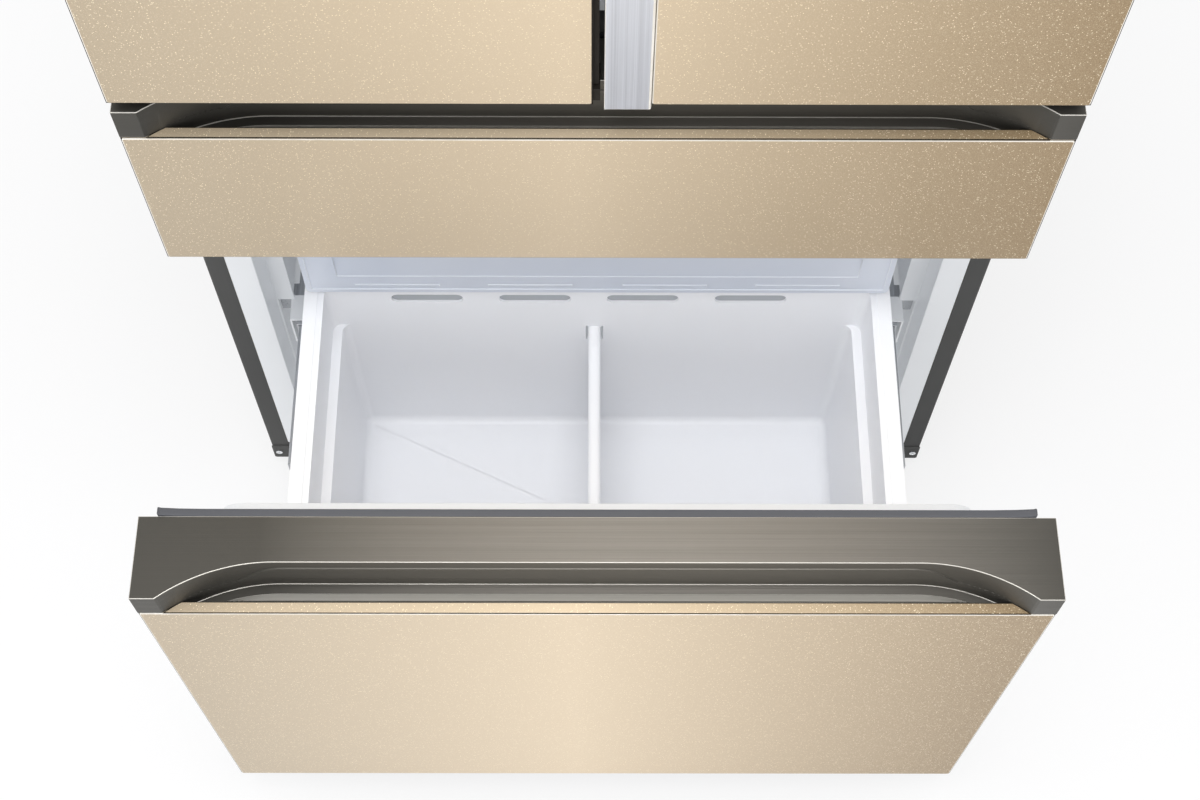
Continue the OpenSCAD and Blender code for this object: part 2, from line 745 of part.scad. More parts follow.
module left_door_liner() color("#f4f6f7") {
    inner_panel([-front_half + 1, door_low + 1], [left_edge - 1, door_top - 1],
                [-dyke_half, door_rim_low], [-dyke_in, door_rim_top]);
    for (z = [ear_low, ear_top - ear_h]) {
        box([mullion_pivot.x - ear_r, back_y, z], [mullion_pivot.x + ear_r, mullion_pivot.y, z + ear_h]);
        translate([mullion_pivot.x, mullion_pivot.y, z]) cylinder(r = ear_r, h = ear_h);
    }
    translate([mullion_pivot.x, mullion_pivot.y, ear_low])
        cylinder(r = mullion_pin_r, h = ear_h + mullion_pin_l);
    translate([mullion_pivot.x, mullion_pivot.y, ear_top - ear_h - mullion_pin_l])
        cylinder(r = mullion_pin_r, h = ear_h + mullion_pin_l);
}

module door_gasket(x0, x1) gasket_ring([x0, door_low + 9], [x1, door_top - 9]);
module left_door_gasket() color("#8f9296") door_gasket(-gasket_half, -centre_in);
module right_door_gasket() color("#8f9296") door_gasket(centre_in, gasket_half);

// Three open bins between the rims of a door's inner panel
module door_bins(x0, x1) for (i = [0 : 2]) {
    low = door_rim_low + bin_lift + i * bin_pitch;
    reach = i == 0 ? low_bin_reach : bin_reach;
    difference() {
        along_z(low, low + bin_h) round_rect([x0, back_y], [x1, reach], tub_r);
        along_z(low + tub_t, low + bin_h + cut)
            round_rect([x0 + tub_t, back_y + tub_t], [x1 - tub_t, reach - tub_t], tub_r - 2);
    }
}
bin_x = [dyke_in + dyke_w + run_gap, dyke_half - dyke_w - run_gap];
module left_door_bins() color("#dbe7ef") door_bins(-bin_x[1], -bin_x[0]);
module right_door_bins() color("#dbe7ef") door_bins(bin_x[0], bin_x[1]);

// The hinged bar that closes the gap between the doors, folded back here
module mullion_bar() color("#6f7175") difference() {
    along_z(ear_low + ear_h + run_gap, ear_top - ear_h - run_gap) {
        translate(mullion_pivot) circle(bar_t / 2);
        round_rect([mullion_pivot.x - bar_t, mullion_pivot.y - bar_t / 2],
                   [mullion_pivot.x + ear_r + 2, mullion_pivot.y + bar_w], 3);
    }
    for (z = [ear_low + ear_h - cut, ear_top - ear_h - mullion_pin_l - 1])
        translate([mullion_pivot.x, mullion_pivot.y, z])
            cylinder(r = mullion_pin_r + pin_clear, h = mullion_pin_l + 1 + cut);
}

strip_t = bevel + strip_proud;
strip_reach = 37.5;
strip_back = front_y + strip_reach;
strip_right = right_edge + strip_w;
body_left = right_edge + 0.5;

module right_door_body() color("#4c4a48") difference() {
    panel_body(body_left, front_half, door_low, door_top,
               strip_right + 0.3 - frame_edge / 2, front_half - frame_edge, door_glass_top);
    box([0, front_y - cut, door_low - cut], [right_edge + 2, strip_back, door_top + cut]);
    door_bore(hinge_x);
}

module right_door_glass() color("#d9c29a")
    glass_pane(strip_right + 0.3, front_half - frame_edge, door_low + frame_edge, door_glass_top);

module handle_strip() color("#c9ccd2") along_z(door_low - strip_drop, door_top) {
    translate([right_edge, front_y - strip_proud]) square([strip_w, strip_t]);
    translate([right_edge, front_y - strip_proud]) square([2, strip_back - front_y + strip_proud]);
}

module right_door_liner() color("#f4f6f7")
    inner_panel([body_left + 1, door_low + 1], [front_half - 1, door_top - 1],
                [dyke_in, door_rim_low], [dyke_half, door_rim_top]);

// Drawer fronts

// The scoop in plan: a straight back wall that an arc at each end brings out to the front
scoop_r = (pow(scoop_run, 2) + pow(scoop_d, 2)) / (2 * scoop_d);
module scoop_2d() {
    translate([-scoop_straight, front_y - cut]) square([2 * scoop_straight, scoop_d + cut]);
    intersection() {
        for (s = [-1, 1])
            translate([s * scoop_straight, front_y + scoop_d - scoop_r]) circle(scoop_r, $fn = 200);
        translate([-front_half, front_y - cut]) square([front_w, scoop_d + cut]);
    }
}

pocket_wall = 2.5;
pocket_half = scoop_straight + scoop_run - 14;

// Everything that the scoop and its finger pocket leave empty, for a cap whose glass ends at z
module pocket_space(z) {
    intersection() {
        along_z(z - pocket_h, z + cap_h + cut) scoop_2d();
        along_x(-front_half, front_half) polygon([
            [front_y - cut, z], [front_y + lip_d, z],
            [front_y + scoop_d - pocket_floor, z - pocket_h],
            [front_y + scoop_d, z - pocket_h], [front_y + scoop_d, z + cap_h + cut],
            [front_y - cut, z + cap_h + cut]]);
    }
    along_z(z - pocket_h, z + cut) difference() {
        scoop_2d();
        translate([0, -pocket_floor]) scoop_2d();
        translate([-front_half, front_y - cut]) square([front_w, lip_d + cut]);
    }
}

// The box round the pocket, which seats in the front
module trough_space(z) {
    half = pocket_half + pocket_wall;
    box([-half, front_y + lip_d - pocket_wall, z - pocket_h - pocket_wall],
        [half, front_y + scoop_d + pocket_wall, z]);
}

module grip_cap(z) difference() {
    union() {
        along_x(-front_half, front_half) polygon([
            [front_y, z], [front_y, z + cap_h - 1], [front_y + 1, z + cap_h],
            [back_y - 1, z + cap_h], [back_y, z + cap_h - 1], [back_y, z]]);
        trough_space(z);
    }
    pocket_space(z);
    trim_space(z);
}

trim_t = 2;

// The lip in plan follows the scoop in front of the pocket
module trim_2d() intersection() {
    scoop_2d();
    translate([-front_half, front_y]) square([front_w, lip_d]);
}
module trim_space(z) along_z(z - trim_t, z) trim_2d();

module front_body(z0, z) difference() {
    panel_body(-front_half, front_half, z0, z, -front_half + frame_edge, front_half - frame_edge, z);
    trough_space(z);
    trim_space(z);
}

module drawer_glass(z0, z)
    glass_pane(-front_half + frame_edge, front_half - frame_edge, z0 + frame_edge, z - trim_t - 0.2);

module middle_front() color("#4c4a48") front_body(middle_glass_low, middle_glass_top);
module middle_glass() color("#d9c29a") drawer_glass(middle_glass_low, middle_glass_top);
module middle_grip() color("#5d5850") grip_cap(middle_glass_top);
module middle_trim() color("#cdb488") trim_space(middle_glass_top);

seal_in = 2;
middle_rim_low = middle_low + 13;
middle_rim_top = middle_top - 13;

module middle_inner_panel() color("#f4f6f7")
    inner_panel([-front_half + 1, middle_glass_low + 1], [front_half - 1, middle_glass_top],
                [-dyke_half, middle_rim_low], [dyke_half, middle_rim_top]);

module middle_gasket() color("#8f9296")
    gasket_ring([-gasket_half, middle_glass_low + 7], [gasket_half, middle_cap_top - seal_in]);

module middle_box() color("#e8edf0") difference() {
    along_z(middle_rim_low + 4, middle_rim_top - 2)
        round_rect([-box_half, dyke_y], [box_half, dyke_y + box_len], tub_r + tub_t);
    along_z(middle_rim_low + 4 + tub_t, middle_top)
        round_rect([-box_half + tub_t, dyke_y + tub_t], [box_half - tub_t, dyke_y + box_len - tub_t], tub_r);
}

// Telescopic slides, as sections across the rail; x counts out from the drawer's side
module channel_2d(x0, x1, h, wall) difference() {
    translate([x0, -h / 2]) square([x1 - x0, h]);
    translate([x0 - cut, -h / 2 + wall]) square([x1 - x0 - wall + cut, h - 2 * wall]);
}
module tee_2d(x0, x1, h) {
    translate([x0, -h / 2]) square([3.5, h]);
    translate([x0, -h / 6]) square([x1 - x0, h / 3]);
    translate([x1 - 4, -h / 2 + 1]) square([4, h - 2]);
}

clip_in = 40;
clip_w = 20;

module cabinet_rails() color("#b9bcc0") pair() {
    translate([0, 0, slide_z]) {
        along_y(slide_y, slide_y + slide_len) channel_2d(fixed_x[0], fixed_x[1], rail_h, rail_wall);
        for (y = [slide_y + clip_in, slide_y + slide_len - clip_in - clip_w])
            box([fixed_x[1], y, -rail_h / 4], [bay_half, y + clip_w, rail_h / 4]);
    }
    translate([0, 0, middle_slide_z])
        along_y(dyke_y + 4, dyke_y + 4 + middle_slide_len)
            channel_2d(middle_fixed_x[0], middle_fixed_x[1], middle_rail_h, rail_wall);
}

module slide_members() color("#a9acb0") drawn_out(slide_travel) pair()
    translate([0, 0, slide_z]) along_y(slide_y, slide_y + slide_len)
        channel_2d(moving_x[0], moving_x[1], moving_h, rail_wall);

module freezer_runners() color("#a9acb0") drawn_out(drawer_out) pair()
    translate([0, 0, slide_z]) along_y(back_y, slide_y + slide_len)
        tee_2d(drawer_x[0], drawer_x[1], drawer_h);

module middle_runners() color("#a9acb0") pair()
    translate([0, 0, middle_slide_z]) along_y(dyke_y, dyke_y + box_len - 10)
        tee_2d(box_half, middle_fixed_x[1] - rail_wall - slide_gap,
               middle_rail_h - 2 * rail_wall - 2 * slide_gap);

guide_z = tray_low + 8;
guide_h = 6;
hood_t = 2;
hood_y = [slide_y + 4, mouth_d + 4];
hood_x = [fixed_x[0] - 2, bay_half - bulge_w + 3];
hood_top = slide_z + rail_h / 2 + hood_t + 1;
bulge_top = guide_z - 17;
bulge_r = 8;
rim_pass = 4;
tray_flange = 12;
tray_face = 5;

// On each side a bulge over the slide, a hood round the slide's front end and a guide for the tray
module rail_housings() color("#eff2f4") pair() {
    intersection() {
        along_y(mouth_d, step_d)
            round_rect([bay_half - bulge_w, hood_top], [bay_half + bulge_r, bulge_top], bulge_r);
        box([0, 0, 0], [bay_half, cab_d, cab_top]);
    }
    box([hood_x[0], hood_y[0], hood_top - hood_t], [hood_x[1], hood_y[1], hood_top]);
    box([hood_x[1] - hood_t, hood_y[0], slide_z - rail_h / 2 - 3], [hood_x[1], hood_y[1], hood_top]);
    box([bay_half - bulge_w, mouth_d, hood_top - hood_t], [bay_half, mouth_d + 4, hood_top + bulge_r]);
    box([tray_half + 4, mouth_d + 4, guide_z], [bay_half, bay_d - duct_t - 10, guide_z + guide_h]);
}

// Freezer drawer

module freezer_front() color("#4c4a48") drawn_out(drawer_out)
    front_body(freezer_glass_low, freezer_glass_top);
module freezer_glass() color("#d9c29a") drawn_out(drawer_out)
    drawer_glass(freezer_glass_low, freezer_glass_top);
module freezer_grip() color("#5d5850") drawn_out(drawer_out) grip_cap(freezer_glass_top);
module freezer_trim() color("#cdb488") drawn_out(drawer_out) trim_space(freezer_glass_top);

freezer_rim_low = freezer_low + 12;
freezer_rim_top = freezer_top - 10;

// The rim stops short above and below the slides and their hoods
module freezer_inner_panel() color("#f4f6f7") drawn_out(drawer_out) difference() {
    inner_panel([-front_half + 1, freezer_glass_low + 1], [front_half - 1, freezer_glass_top],
                [-dyke_half, freezer_rim_low], [dyke_half, freezer_rim_top]);
    pair() box([drawer_x[0], back_y, slide_z - rail_h / 2 - rim_pass],
               [dyke_half + cut, dyke_y + cut, hood_top + rim_pass]);
}

module freezer_gasket() color("#8f9296") drawn_out(drawer_out)
    gasket_ring([-gasket_half, freezer_glass_low + 5], [gasket_half, freezer_cap_top - seal_in]);

rim_t = 4;
basket_front = dyke_y;
basket_back = basket_front + basket_t + basket_len;
basket_in = basket_half - basket_rim;
lug_y = [60, 150, 240];
lug_w = 18;
lug_h = 14;
slot_drop = 22;
divider_fit = 0.3;

low_in = basket_in - ledge_w;
low_y = [basket_front + basket_t, basket_back];

// A level outline of the tub below its ledge, drawn in by a distance and grown by a wall
module low_layer(z, inset, wall) along_z(z, z + 1)
    round_rect([-low_in + inset - wall, low_y[0] + inset - wall],
               [low_in - inset + wall, low_y[1] - inset + wall], basket_r - inset / 2 + wall, $fn = 32);

// The basket's inside: upright walls down to a ledge at each side, then a slight draft to a round floor
module tub(wall) {
    along_z(ledge_z - wall, basket_top + (wall > 0 ? 0 : cut))
        round_rect([-basket_in - wall, low_y[0] - wall],
                   [basket_in + wall, low_y[1] + wall], basket_r + wall);
    hull() {
        low_layer(ledge_z - wall, 0, wall);
        low_layer(basket_floor + floor_fillet, basket_draft / 2, wall);
        low_layer(basket_floor + floor_fillet * 0.3, basket_draft / 2 + floor_fillet * 0.3, wall);
        low_layer(basket_floor - wall, basket_draft / 2 + floor_fillet, wall);
    }
}

module freezer_basket() color("#f2f5f7") drawn_out(drawer_out) difference() {
    union() {
        tub(basket_t);
        along_z(basket_top - rim_t, basket_top)
            round_rect([-basket_half, basket_front], [basket_half, basket_back + basket_rim / 2], 10);
        pair() for (y = lug_y)
            box([low_in, y, slide_z + drawer_h / 2],
                [drawer_x[0] + 3, y + lug_w, slide_z + drawer_h / 2 + lug_h]);
    }
    tub(0);
    along_y(basket_back - cut, basket_back + basket_rim)
        for (i = [-1.5 : 1 : 1.5])
            translate([slot_x + i * slot_pitch, basket_top - slot_drop]) slot_2d(slot_l, slot_h);
}

module basket_divider() color("#eef1f3") drawn_out(drawer_out)
    along_x(divider_x - divider_t / 2, divider_x + divider_t / 2) polygon([
        [low_y[0] + basket_draft / 2 + floor_fillet, basket_floor],
        [low_y[1] - basket_draft / 2 - floor_fillet, basket_floor],
        [low_y[1] - basket_draft / 2 - divider_fit, basket_floor + floor_fillet + divider_fit],
        [low_y[1] - divider_fit, divider_top], [low_y[0] + divider_fit, divider_top],
        [low_y[0] + basket_draft / 2 + divider_fit, basket_floor + floor_fillet + divider_fit]]);

module freezer_tray() color("#dde6f2") translate([0, -tray_out, 0]) {
    difference() {
        along_z(tray_low, tray_low + tray_h) round_rect([-tray_half, 0], [tray_half, tray_len], 6);
        along_z(tray_low + tub_t, tray_low + tray_h + cut)
            round_rect([-tray_half + tub_t, tray_face], [tray_half - tub_t, tray_len - tub_t], 4);
    }
    pair() box([tray_half - 1, 8 * tray_face, guide_z + guide_h + run_gap],
               [tray_half + tray_flange, tray_len - 10, guide_z + guide_h + run_gap + tub_t]);
}

// Feet and rollers

foot_top = chassis_z - sheet_t - 4;
foot_r = 24;

module foot(x) translate([x, foot_y, 0]) {
    cylinder(r = foot_r, h = 7);
    translate([0, 0, 7]) cylinder(r = 10, h = 7, $fn = 6);
    translate([0, 0, 14]) cylinder(r = stem_r, h = foot_top - 14);
}
module foot_left() color("#2b2c2e") foot(-foot_x);
module foot_right() color("#2b2c2e") foot(foot_x);

module roller(x) translate([x, roller_y, roller_r]) rotate([0, 90, 0]) {
    cylinder(r = roller_r, h = roller_w, center = true);
    cylinder(r = axle_r, h = roller_w + 2 * ear_t + 2, center = true);
}
module roller_left() color("#2b2c2e") roller(-foot_x);
module roller_right() color("#2b2c2e") roller(foot_x);

in_frame() outer_wrapper();
in_frame() rear_panel();
in_frame() insulation();
in_frame() divider_foam();
in_frame() fridge_liner();
in_frame() middle_liner();
in_frame() freezer_liner();
in_frame() cross_rails();
in_frame() base_pan();
in_frame() machine_cover();
in_frame() compressor();
in_frame() cord_inlet();
in_frame() top_hinge_brackets();
in_frame() top_hinge_covers();
in_frame() middle_hinge_brackets();
in_frame() corner_brackets();
in_frame() screws();
in_frame() shelf_frames();
in_frame() shelf_glasses();
in_frame() fridge_duct_cover();
in_frame() freezer_duct_cover();
in_frame() cabinet_rails();
in_frame() rail_housings();
in_frame() left_door_body();
in_frame() left_door_glass();
in_frame() left_door_liner();
in_frame() left_door_gasket();
in_frame() left_door_bins();
in_frame() mullion_bar();
in_frame() right_door_body();
in_frame() right_door_glass();
in_frame() right_door_liner();
in_frame() right_door_gasket();
in_frame() right_door_bins();
in_frame() handle_strip();
in_frame() middle_front();
in_frame() middle_glass();
in_frame() middle_grip();
in_frame() middle_trim();
in_frame() middle_inner_panel();
in_frame() middle_gasket();
in_frame() middle_box();
in_frame() middle_runners();
in_frame() freezer_front();
in_frame() freezer_glass();
in_frame() freezer_grip();
in_frame() freezer_trim();
in_frame() freezer_inner_panel();
in_frame() freezer_gasket();
in_frame() freezer_basket();
in_frame() basket_divider();
in_frame() freezer_runners();
in_frame() slide_members();
in_frame() freezer_tray();
in_frame() crisper_left();
in_frame() crisper_right();
in_frame() foot_left();
in_frame() foot_right();
in_frame() roller_left();
in_frame() roller_right();
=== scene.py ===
# %% [markdown]
# # A refrigerator with glass fronts
#
# This lesson dresses a finished CAD assembly for a picture. The construction stays as it is:
# every piece here is placed by the boxes of the CAD nodes, so nothing is fitted by eye. Each step
# says what the piece is on the real object, how it could be made, and why it is made the way it
# is.

# %% Load the frame
import contextlib
import math

import bmesh
import bpy
from mathutils import Euler, Matrix, Vector
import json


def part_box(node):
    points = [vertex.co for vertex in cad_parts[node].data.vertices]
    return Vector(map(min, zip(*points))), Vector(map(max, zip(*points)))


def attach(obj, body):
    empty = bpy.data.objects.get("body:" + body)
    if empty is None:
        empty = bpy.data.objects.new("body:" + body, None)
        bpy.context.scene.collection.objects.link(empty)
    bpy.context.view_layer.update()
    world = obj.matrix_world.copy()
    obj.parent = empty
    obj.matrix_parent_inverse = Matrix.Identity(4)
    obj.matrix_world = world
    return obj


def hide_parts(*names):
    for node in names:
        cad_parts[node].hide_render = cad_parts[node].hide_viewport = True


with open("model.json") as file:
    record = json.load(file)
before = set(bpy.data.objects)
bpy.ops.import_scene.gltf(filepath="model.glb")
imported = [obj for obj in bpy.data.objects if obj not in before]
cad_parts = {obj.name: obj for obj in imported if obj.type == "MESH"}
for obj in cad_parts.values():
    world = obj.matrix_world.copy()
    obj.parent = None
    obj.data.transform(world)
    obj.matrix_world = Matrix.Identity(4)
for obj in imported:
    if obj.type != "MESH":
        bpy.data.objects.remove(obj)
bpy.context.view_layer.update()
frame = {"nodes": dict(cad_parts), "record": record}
MM = 0.001
# Points closer than a hair count as one point, and faces that turn by less than this as one face.
HAIR = 0.01 * MM
FLAT_ANGLE = math.radians(0.5)

# %% [markdown]
# ## The camera
#
# The photo looks down into the open drawer from above and in front, along the middle of the
# appliance. The camera stands close to that middle line, tilted down by nearly 64 degrees, and
# its lens gives the same convergence of the side edges as in the photo. It was held half a degree
# askew, which the yaw and the roll repeat.

# %% Place the camera
CAMERA_PLACE = (-0.00502, -1.10437, 2.22596)
CAMERA_TILT = math.radians(26.249)
CAMERA_YAW = math.radians(-0.535)
CAMERA_ROLL = math.radians(0.596)
CAMERA_LENS = 55.32
camera_data = bpy.data.cameras.new("studio_camera")
camera_data.lens = CAMERA_LENS
camera_data.sensor_width = 36
camera_data.sensor_fit = "HORIZONTAL"
camera = bpy.data.objects.new("studio_camera", camera_data)
camera.location = CAMERA_PLACE
aim = Euler((CAMERA_TILT, 0, CAMERA_YAW)).to_matrix() @ Matrix.Rotation(CAMERA_ROLL, 3, "Z")
camera.rotation_euler = aim.to_euler()
bpy.context.scene.collection.objects.link(camera)
bpy.context.scene.camera = camera
bpy.context.scene.view_settings.view_transform = "Standard"
print("camera lens:", CAMERA_LENS, "mm")


# %% [markdown]
# ## Shader maths in plain Python
#
# A finish is a small node graph. Adding its nodes one by one hides what it computes, so three
# helpers turn it into expressions: Graph adds any node in one call, Finish is the graph of a
# material, and Value is a number that changes over the surface, so that 1 - mask * 0.3 adds its
# own Math nodes.

# %% Colours and socket names
WHITE = (1, 1, 1, 1)


def linear(*rgb):
    """A colour given as 0-255 screen values, as the linear RGBA that sockets take."""
    parts = [c / 255 for c in rgb]
    return tuple(c / 12.92 if c <= 0.04045 else ((c + 0.055) / 1.055) ** 2.4 for c in parts) + (1,)


def socket_name(label):
    """The socket that an argument such as base_color stands for."""
    return label.replace("_", " ").title().replace("Ior", "IOR")


# %% Three helpers for node graphs
class Value:
    """A number that changes over the surface. Arithmetic on it adds Math nodes."""

    def __init__(self, finish, socket):
        self.finish, self.socket = finish, socket

    def math(self, operation, *terms, clamp=False):
        settings = {"operation": operation, "use_clamp": clamp}
        return Value(self.finish, self.finish.node("ShaderNodeMath", settings, *terms).outputs[0])

    def __add__(self, other):
        return self.math("ADD", self, other)

    def __sub__(self, other):
        return self.math("SUBTRACT", self, other)

    def __rsub__(self, other):
        return self.math("SUBTRACT", other, self)

    def __mul__(self, other):
        return self.math("MULTIPLY", self, other)

    def __gt__(self, other):
        return self.math("GREATER_THAN", self, other)

    def __lt__(self, other):
        return self.math("LESS_THAN", self, other)

    def between(self, low, high):
        """0 below low, 1 above high, straight between them."""
        return self.math("DIVIDE", self - low, high - low, clamp=True)

    __radd__ = __add__
    __rmul__ = __mul__


class Graph:
    """A node tree, with one method that adds any node."""

    def __init__(self, tree):
        self.tree = tree

    def plug(self, socket, term):
        """Give a socket its constant or its link."""
        if isinstance(term, Value):
            term = term.socket
        if isinstance(term, bpy.types.NodeSocket):
            self.tree.links.new(term, socket)
        else:
            socket.default_value = term

    def node(self, kind, settings=None, *terms, **named):
        """Add a node: its settings first, then its sockets, in their order or by their names."""
        made = self.tree.nodes.new(kind)
        for label, setting in (settings or {}).items():
            setattr(made, label, setting)
        for socket, term in zip(made.inputs, terms):
            self.plug(socket, term)
        for label, term in named.items():
            self.plug(made.inputs[label], term)
        return made


# The Mix node has sockets for each kind of data. These are its share and its colours.
MIX_SOCKETS = (0, 6, 7)
MIX_RESULT = 2
CLOUD_SPAN = (0.3, 0.7)


class Finish(Graph):
    """A material with its principled shader."""

    def __init__(self, name, **constants):
        self.material = bpy.data.materials.new(name)
        self.material.use_nodes = True
        super().__init__(self.material.node_tree)
        self.shader = self.tree.nodes["Principled BSDF"]
        self.sends(**constants)
        self.place = self.node("ShaderNodeTexCoord").outputs["Object"]

    def sends(self, **terms):
        """Set or link sockets of the principled shader."""
        for label, term in terms.items():
            self.plug(self.shader.inputs[socket_name(label)], term)

    def stretched(self, scale):
        """Object coordinates, scaled along each axis."""
        return self.node("ShaderNodeMapping", None, Vector=self.place, Scale=scale).outputs[0]

    def noise(self, scale, detail=2, rough=0.5, where=None):
        made = self.node("ShaderNodeTexNoise", None, Vector=where or self.place,
                         Scale=scale, Detail=detail, Roughness=rough)
        return Value(self, made.outputs[0])

    def clouds(self, *settings):
        """Noise that reaches 0 in its darkest places and 1 in its brightest."""
        return self.noise(*settings).between(*CLOUD_SPAN)

    def cells(self, scale):
        """Random cells: a number for each cell, and the distance from its middle."""
        made = self.node("ShaderNodeTexVoronoi", {"feature": "F1"}, Vector=self.place, Scale=scale)
        parts = self.node("ShaderNodeSeparateColor", None, made.outputs["Color"])
        return Value(self, parts.outputs[0]), Value(self, made.outputs["Distance"])

    def axis(self, letter):
        """The X, Y or Z of the place on the surface, in metres."""
        return Value(self, self.node("ShaderNodeSeparateXYZ", None, self.place).outputs[letter])

    def mix(self, share, low, high):
        """A colour between two, by a share from 0 to 1."""
        made = self.node("ShaderNodeMix", {"data_type": "RGBA"})
        for index, term in zip(MIX_SOCKETS, (share, low, high)):
            self.plug(made.inputs[index], term)
        return made.outputs[MIX_RESULT]

    def bump(self, height, strength, distance):
        made = self.node("ShaderNodeBump", None, Height=height, Strength=strength,
                         Distance=distance)
        self.sends(normal=made.outputs[0])


# %% [markdown]
# ## The gold glass
#
# Each front is a sheet of glass with a lacquer of fine flakes behind it. A photograph of the
# glitter would do, but it would blur close up, so the flakes are Voronoi cells: every cell gets a
# random number, and only those above a limit turn into bright specks. A second, finer layer of
# them is fainter. A slow change of tone from left to right is painted reflection and shade: greyer
# at the left, paler in the middle and a deeper gold at the right, for the room that the glass
# reflects. The coat on top is the glass itself, smooth over a rough lacquer.

# %% Tones, painted reflection and shade, and flakes of the gold glass
GOLD = linear(206, 184, 150)
GOLD_PAINTED_SHEEN = linear(219, 201, 174)
GOLD_PAINTED_GREY = linear(164, 151, 131)
GOLD_PAINTED_SHADE = linear(120, 95, 56)
GREY_TO_SHEEN = (-0.45, -0.03)
SHEEN_TO_SHADE = (-0.02, 0.42)
MOTTLE_NOISE = (900, 3, 0.7)
MOTTLE_SHARE = 0.5
FLAKE = linear(250, 236, 206)
FLAKE_SCALE = 880
FLAKE_LIMIT = 0.93
FLAKE_RADIUS = 0.42
FLAKE_SHARE = 0.95
FINER = 1.9
FINE_LIMIT = 0.86
FINE_SHARE = 0.4
LACQUER_ROUGH = 0.5
FLAKE_SMOOTHS = 0.12


def flakes(finish, scale, limit):
    """1 on small bright cells, 0 between them."""
    chance, distance = finish.cells(scale)
    return (chance > limit) * (distance < FLAKE_RADIUS)


def gold_glass():
    made = Finish("gold_glass", metallic=0.25, roughness=LACQUER_ROUGH, coat_weight=0.35,
                  coat_roughness=0.34)
    # Painted reflection and shade: greyer at the left, paler in the middle, deeper gold at the
    # right.
    across = made.axis("X")
    ground = made.mix(across.between(*GREY_TO_SHEEN), GOLD_PAINTED_GREY, GOLD_PAINTED_SHEEN)
    ground = made.mix(across.between(*SHEEN_TO_SHADE), ground, GOLD_PAINTED_SHADE)
    ground = made.mix(made.clouds(*MOTTLE_NOISE) * MOTTLE_SHARE, ground, GOLD)
    specks = flakes(made, FLAKE_SCALE, FLAKE_LIMIT)
    fine = flakes(made, FLAKE_SCALE * FINER, FINE_LIMIT)
    made.sends(base_color=made.mix(specks * FLAKE_SHARE + fine * FINE_SHARE, ground, FLAKE),
               roughness=LACQUER_ROUGH - specks * FLAKE_SMOOTHS)
    return made.material


# %% [markdown]
# ## Brushed metal, plastics, paint and the rest
#
# Brushed metal is noise squeezed along one axis: scaled up hard across the strokes and hardly at
# all along them, it turns into long fine lines. Mouldings are plainer, and look real through a
# slight change of tone and a barely uneven skin. Each finish of the record gets its own short
# function.

# %% Brushed metals
LINE_SHARE = 0.6
BROAD_SCALE = 0.12
BRUSH_SPREAD = 0.16
BRUSH_RELIEF = (0.25, 0.0002)
# Painted shade: how far from the middle, and how fast, brushed metal turns darker to the sides.
SHADE_FREE_MIDDLE = 0.06
SIDE_SHADE_RATE = 7.5
PAINTED_SIDE_SHADE = linear(74, 72, 67)


def brushed(name, colour, bright, strokes, rough, metallic=0.9, ends=None):
    """Metal with fine lines.

    The strokes are the scale of the lines along each axis, and ends is painted shade: a darker
    tone that the metal takes towards both sides of the appliance, so that its middle looks lit.
    """
    made = Finish(name, metallic=metallic, roughness=rough)
    lines = made.clouds(1.0, 4, 0.65, made.stretched(strokes))
    wide = tuple(scale * BROAD_SCALE for scale in strokes)
    broad = made.clouds(1.0, 2, 0.5, made.stretched(wide))
    grain = lines * LINE_SHARE + broad * (1 - LINE_SHARE)
    tone = made.mix(grain, colour, bright)
    # Painted shade: darker towards both sides of the appliance.
    if ends:
        across = made.axis("X") - SHADE_FREE_MIDDLE
        tone = made.mix((across * across * SIDE_SHADE_RATE).between(0.0, 1.0), tone, ends)
    made.sends(base_color=tone, roughness=rough - BRUSH_SPREAD / 2 + grain * BRUSH_SPREAD)
    made.bump(lines, *BRUSH_RELIEF)
    return made.material


def titanium():
    return brushed("titanium", linear(115, 112, 106), linear(139, 135, 129), (5, 1500, 1500),
                   rough=0.42, metallic=0.6, ends=PAINTED_SIDE_SHADE)


def silver_strip():
    return brushed("silver_strip", linear(206, 208, 214), linear(240, 242, 248), (900, 900, 3),
                   rough=0.38, metallic=0.8)


def slide_steel():
    return brushed("slide_steel", linear(165, 168, 172), linear(198, 200, 204), (500, 12, 500),
                   rough=0.32)


def bright_steel():
    return brushed("bright_steel", linear(214, 216, 220), linear(236, 238, 240), (700, 700, 700),
                   rough=0.2)


# %% Galvanised sheet
CRYSTAL_SCALE = 75
CRYSTAL_SHARE = 0.6


def galvanised():
    """Zinc crystals: large random cells of slightly different grey."""
    made = Finish("galvanised", metallic=0.7, roughness=0.5)
    chance, _ = made.cells(CRYSTAL_SCALE)
    tone = chance * CRYSTAL_SHARE + made.noise(14, 3) * (1 - CRYSTAL_SHARE)
    made.sends(base_color=made.mix(tone, linear(148, 152, 157), linear(170, 174, 178)),
               roughness=0.42 + tone * 0.16)
    return made.material


# %% Plastics, paint and rubber
DRIFT_NOISE = (3.5, 3, 0.55)
DRIFT_SHARE = 0.5
DRIFT_SPREAD = 0.08
SKIN_RELIEF = 0.0001


def moulded(name, colour, shade, rough, grain, depth, coat=0.0, gloss=0.5, glow=0.0):
    """A moulded or painted skin: slow drift between two tones, and a fine even grain.

    A glow is painted light that lifts the shade on thick white plastic, for the light that passes
    on inside it.
    """
    # A glow above 0 is painted light.
    made = Finish(name, roughness=rough, coat_weight=coat, coat_roughness=0.15,
                  specular_ior_level=gloss, emission_strength=glow, emission_color=colour)
    drift = made.clouds(*DRIFT_NOISE)
    made.sends(base_color=made.mix(drift * DRIFT_SHARE, colour, shade),
               roughness=rough - DRIFT_SPREAD / 2 + drift * DRIFT_SPREAD)
    made.bump(made.noise(grain), depth, SKIN_RELIEF)
    return made.material


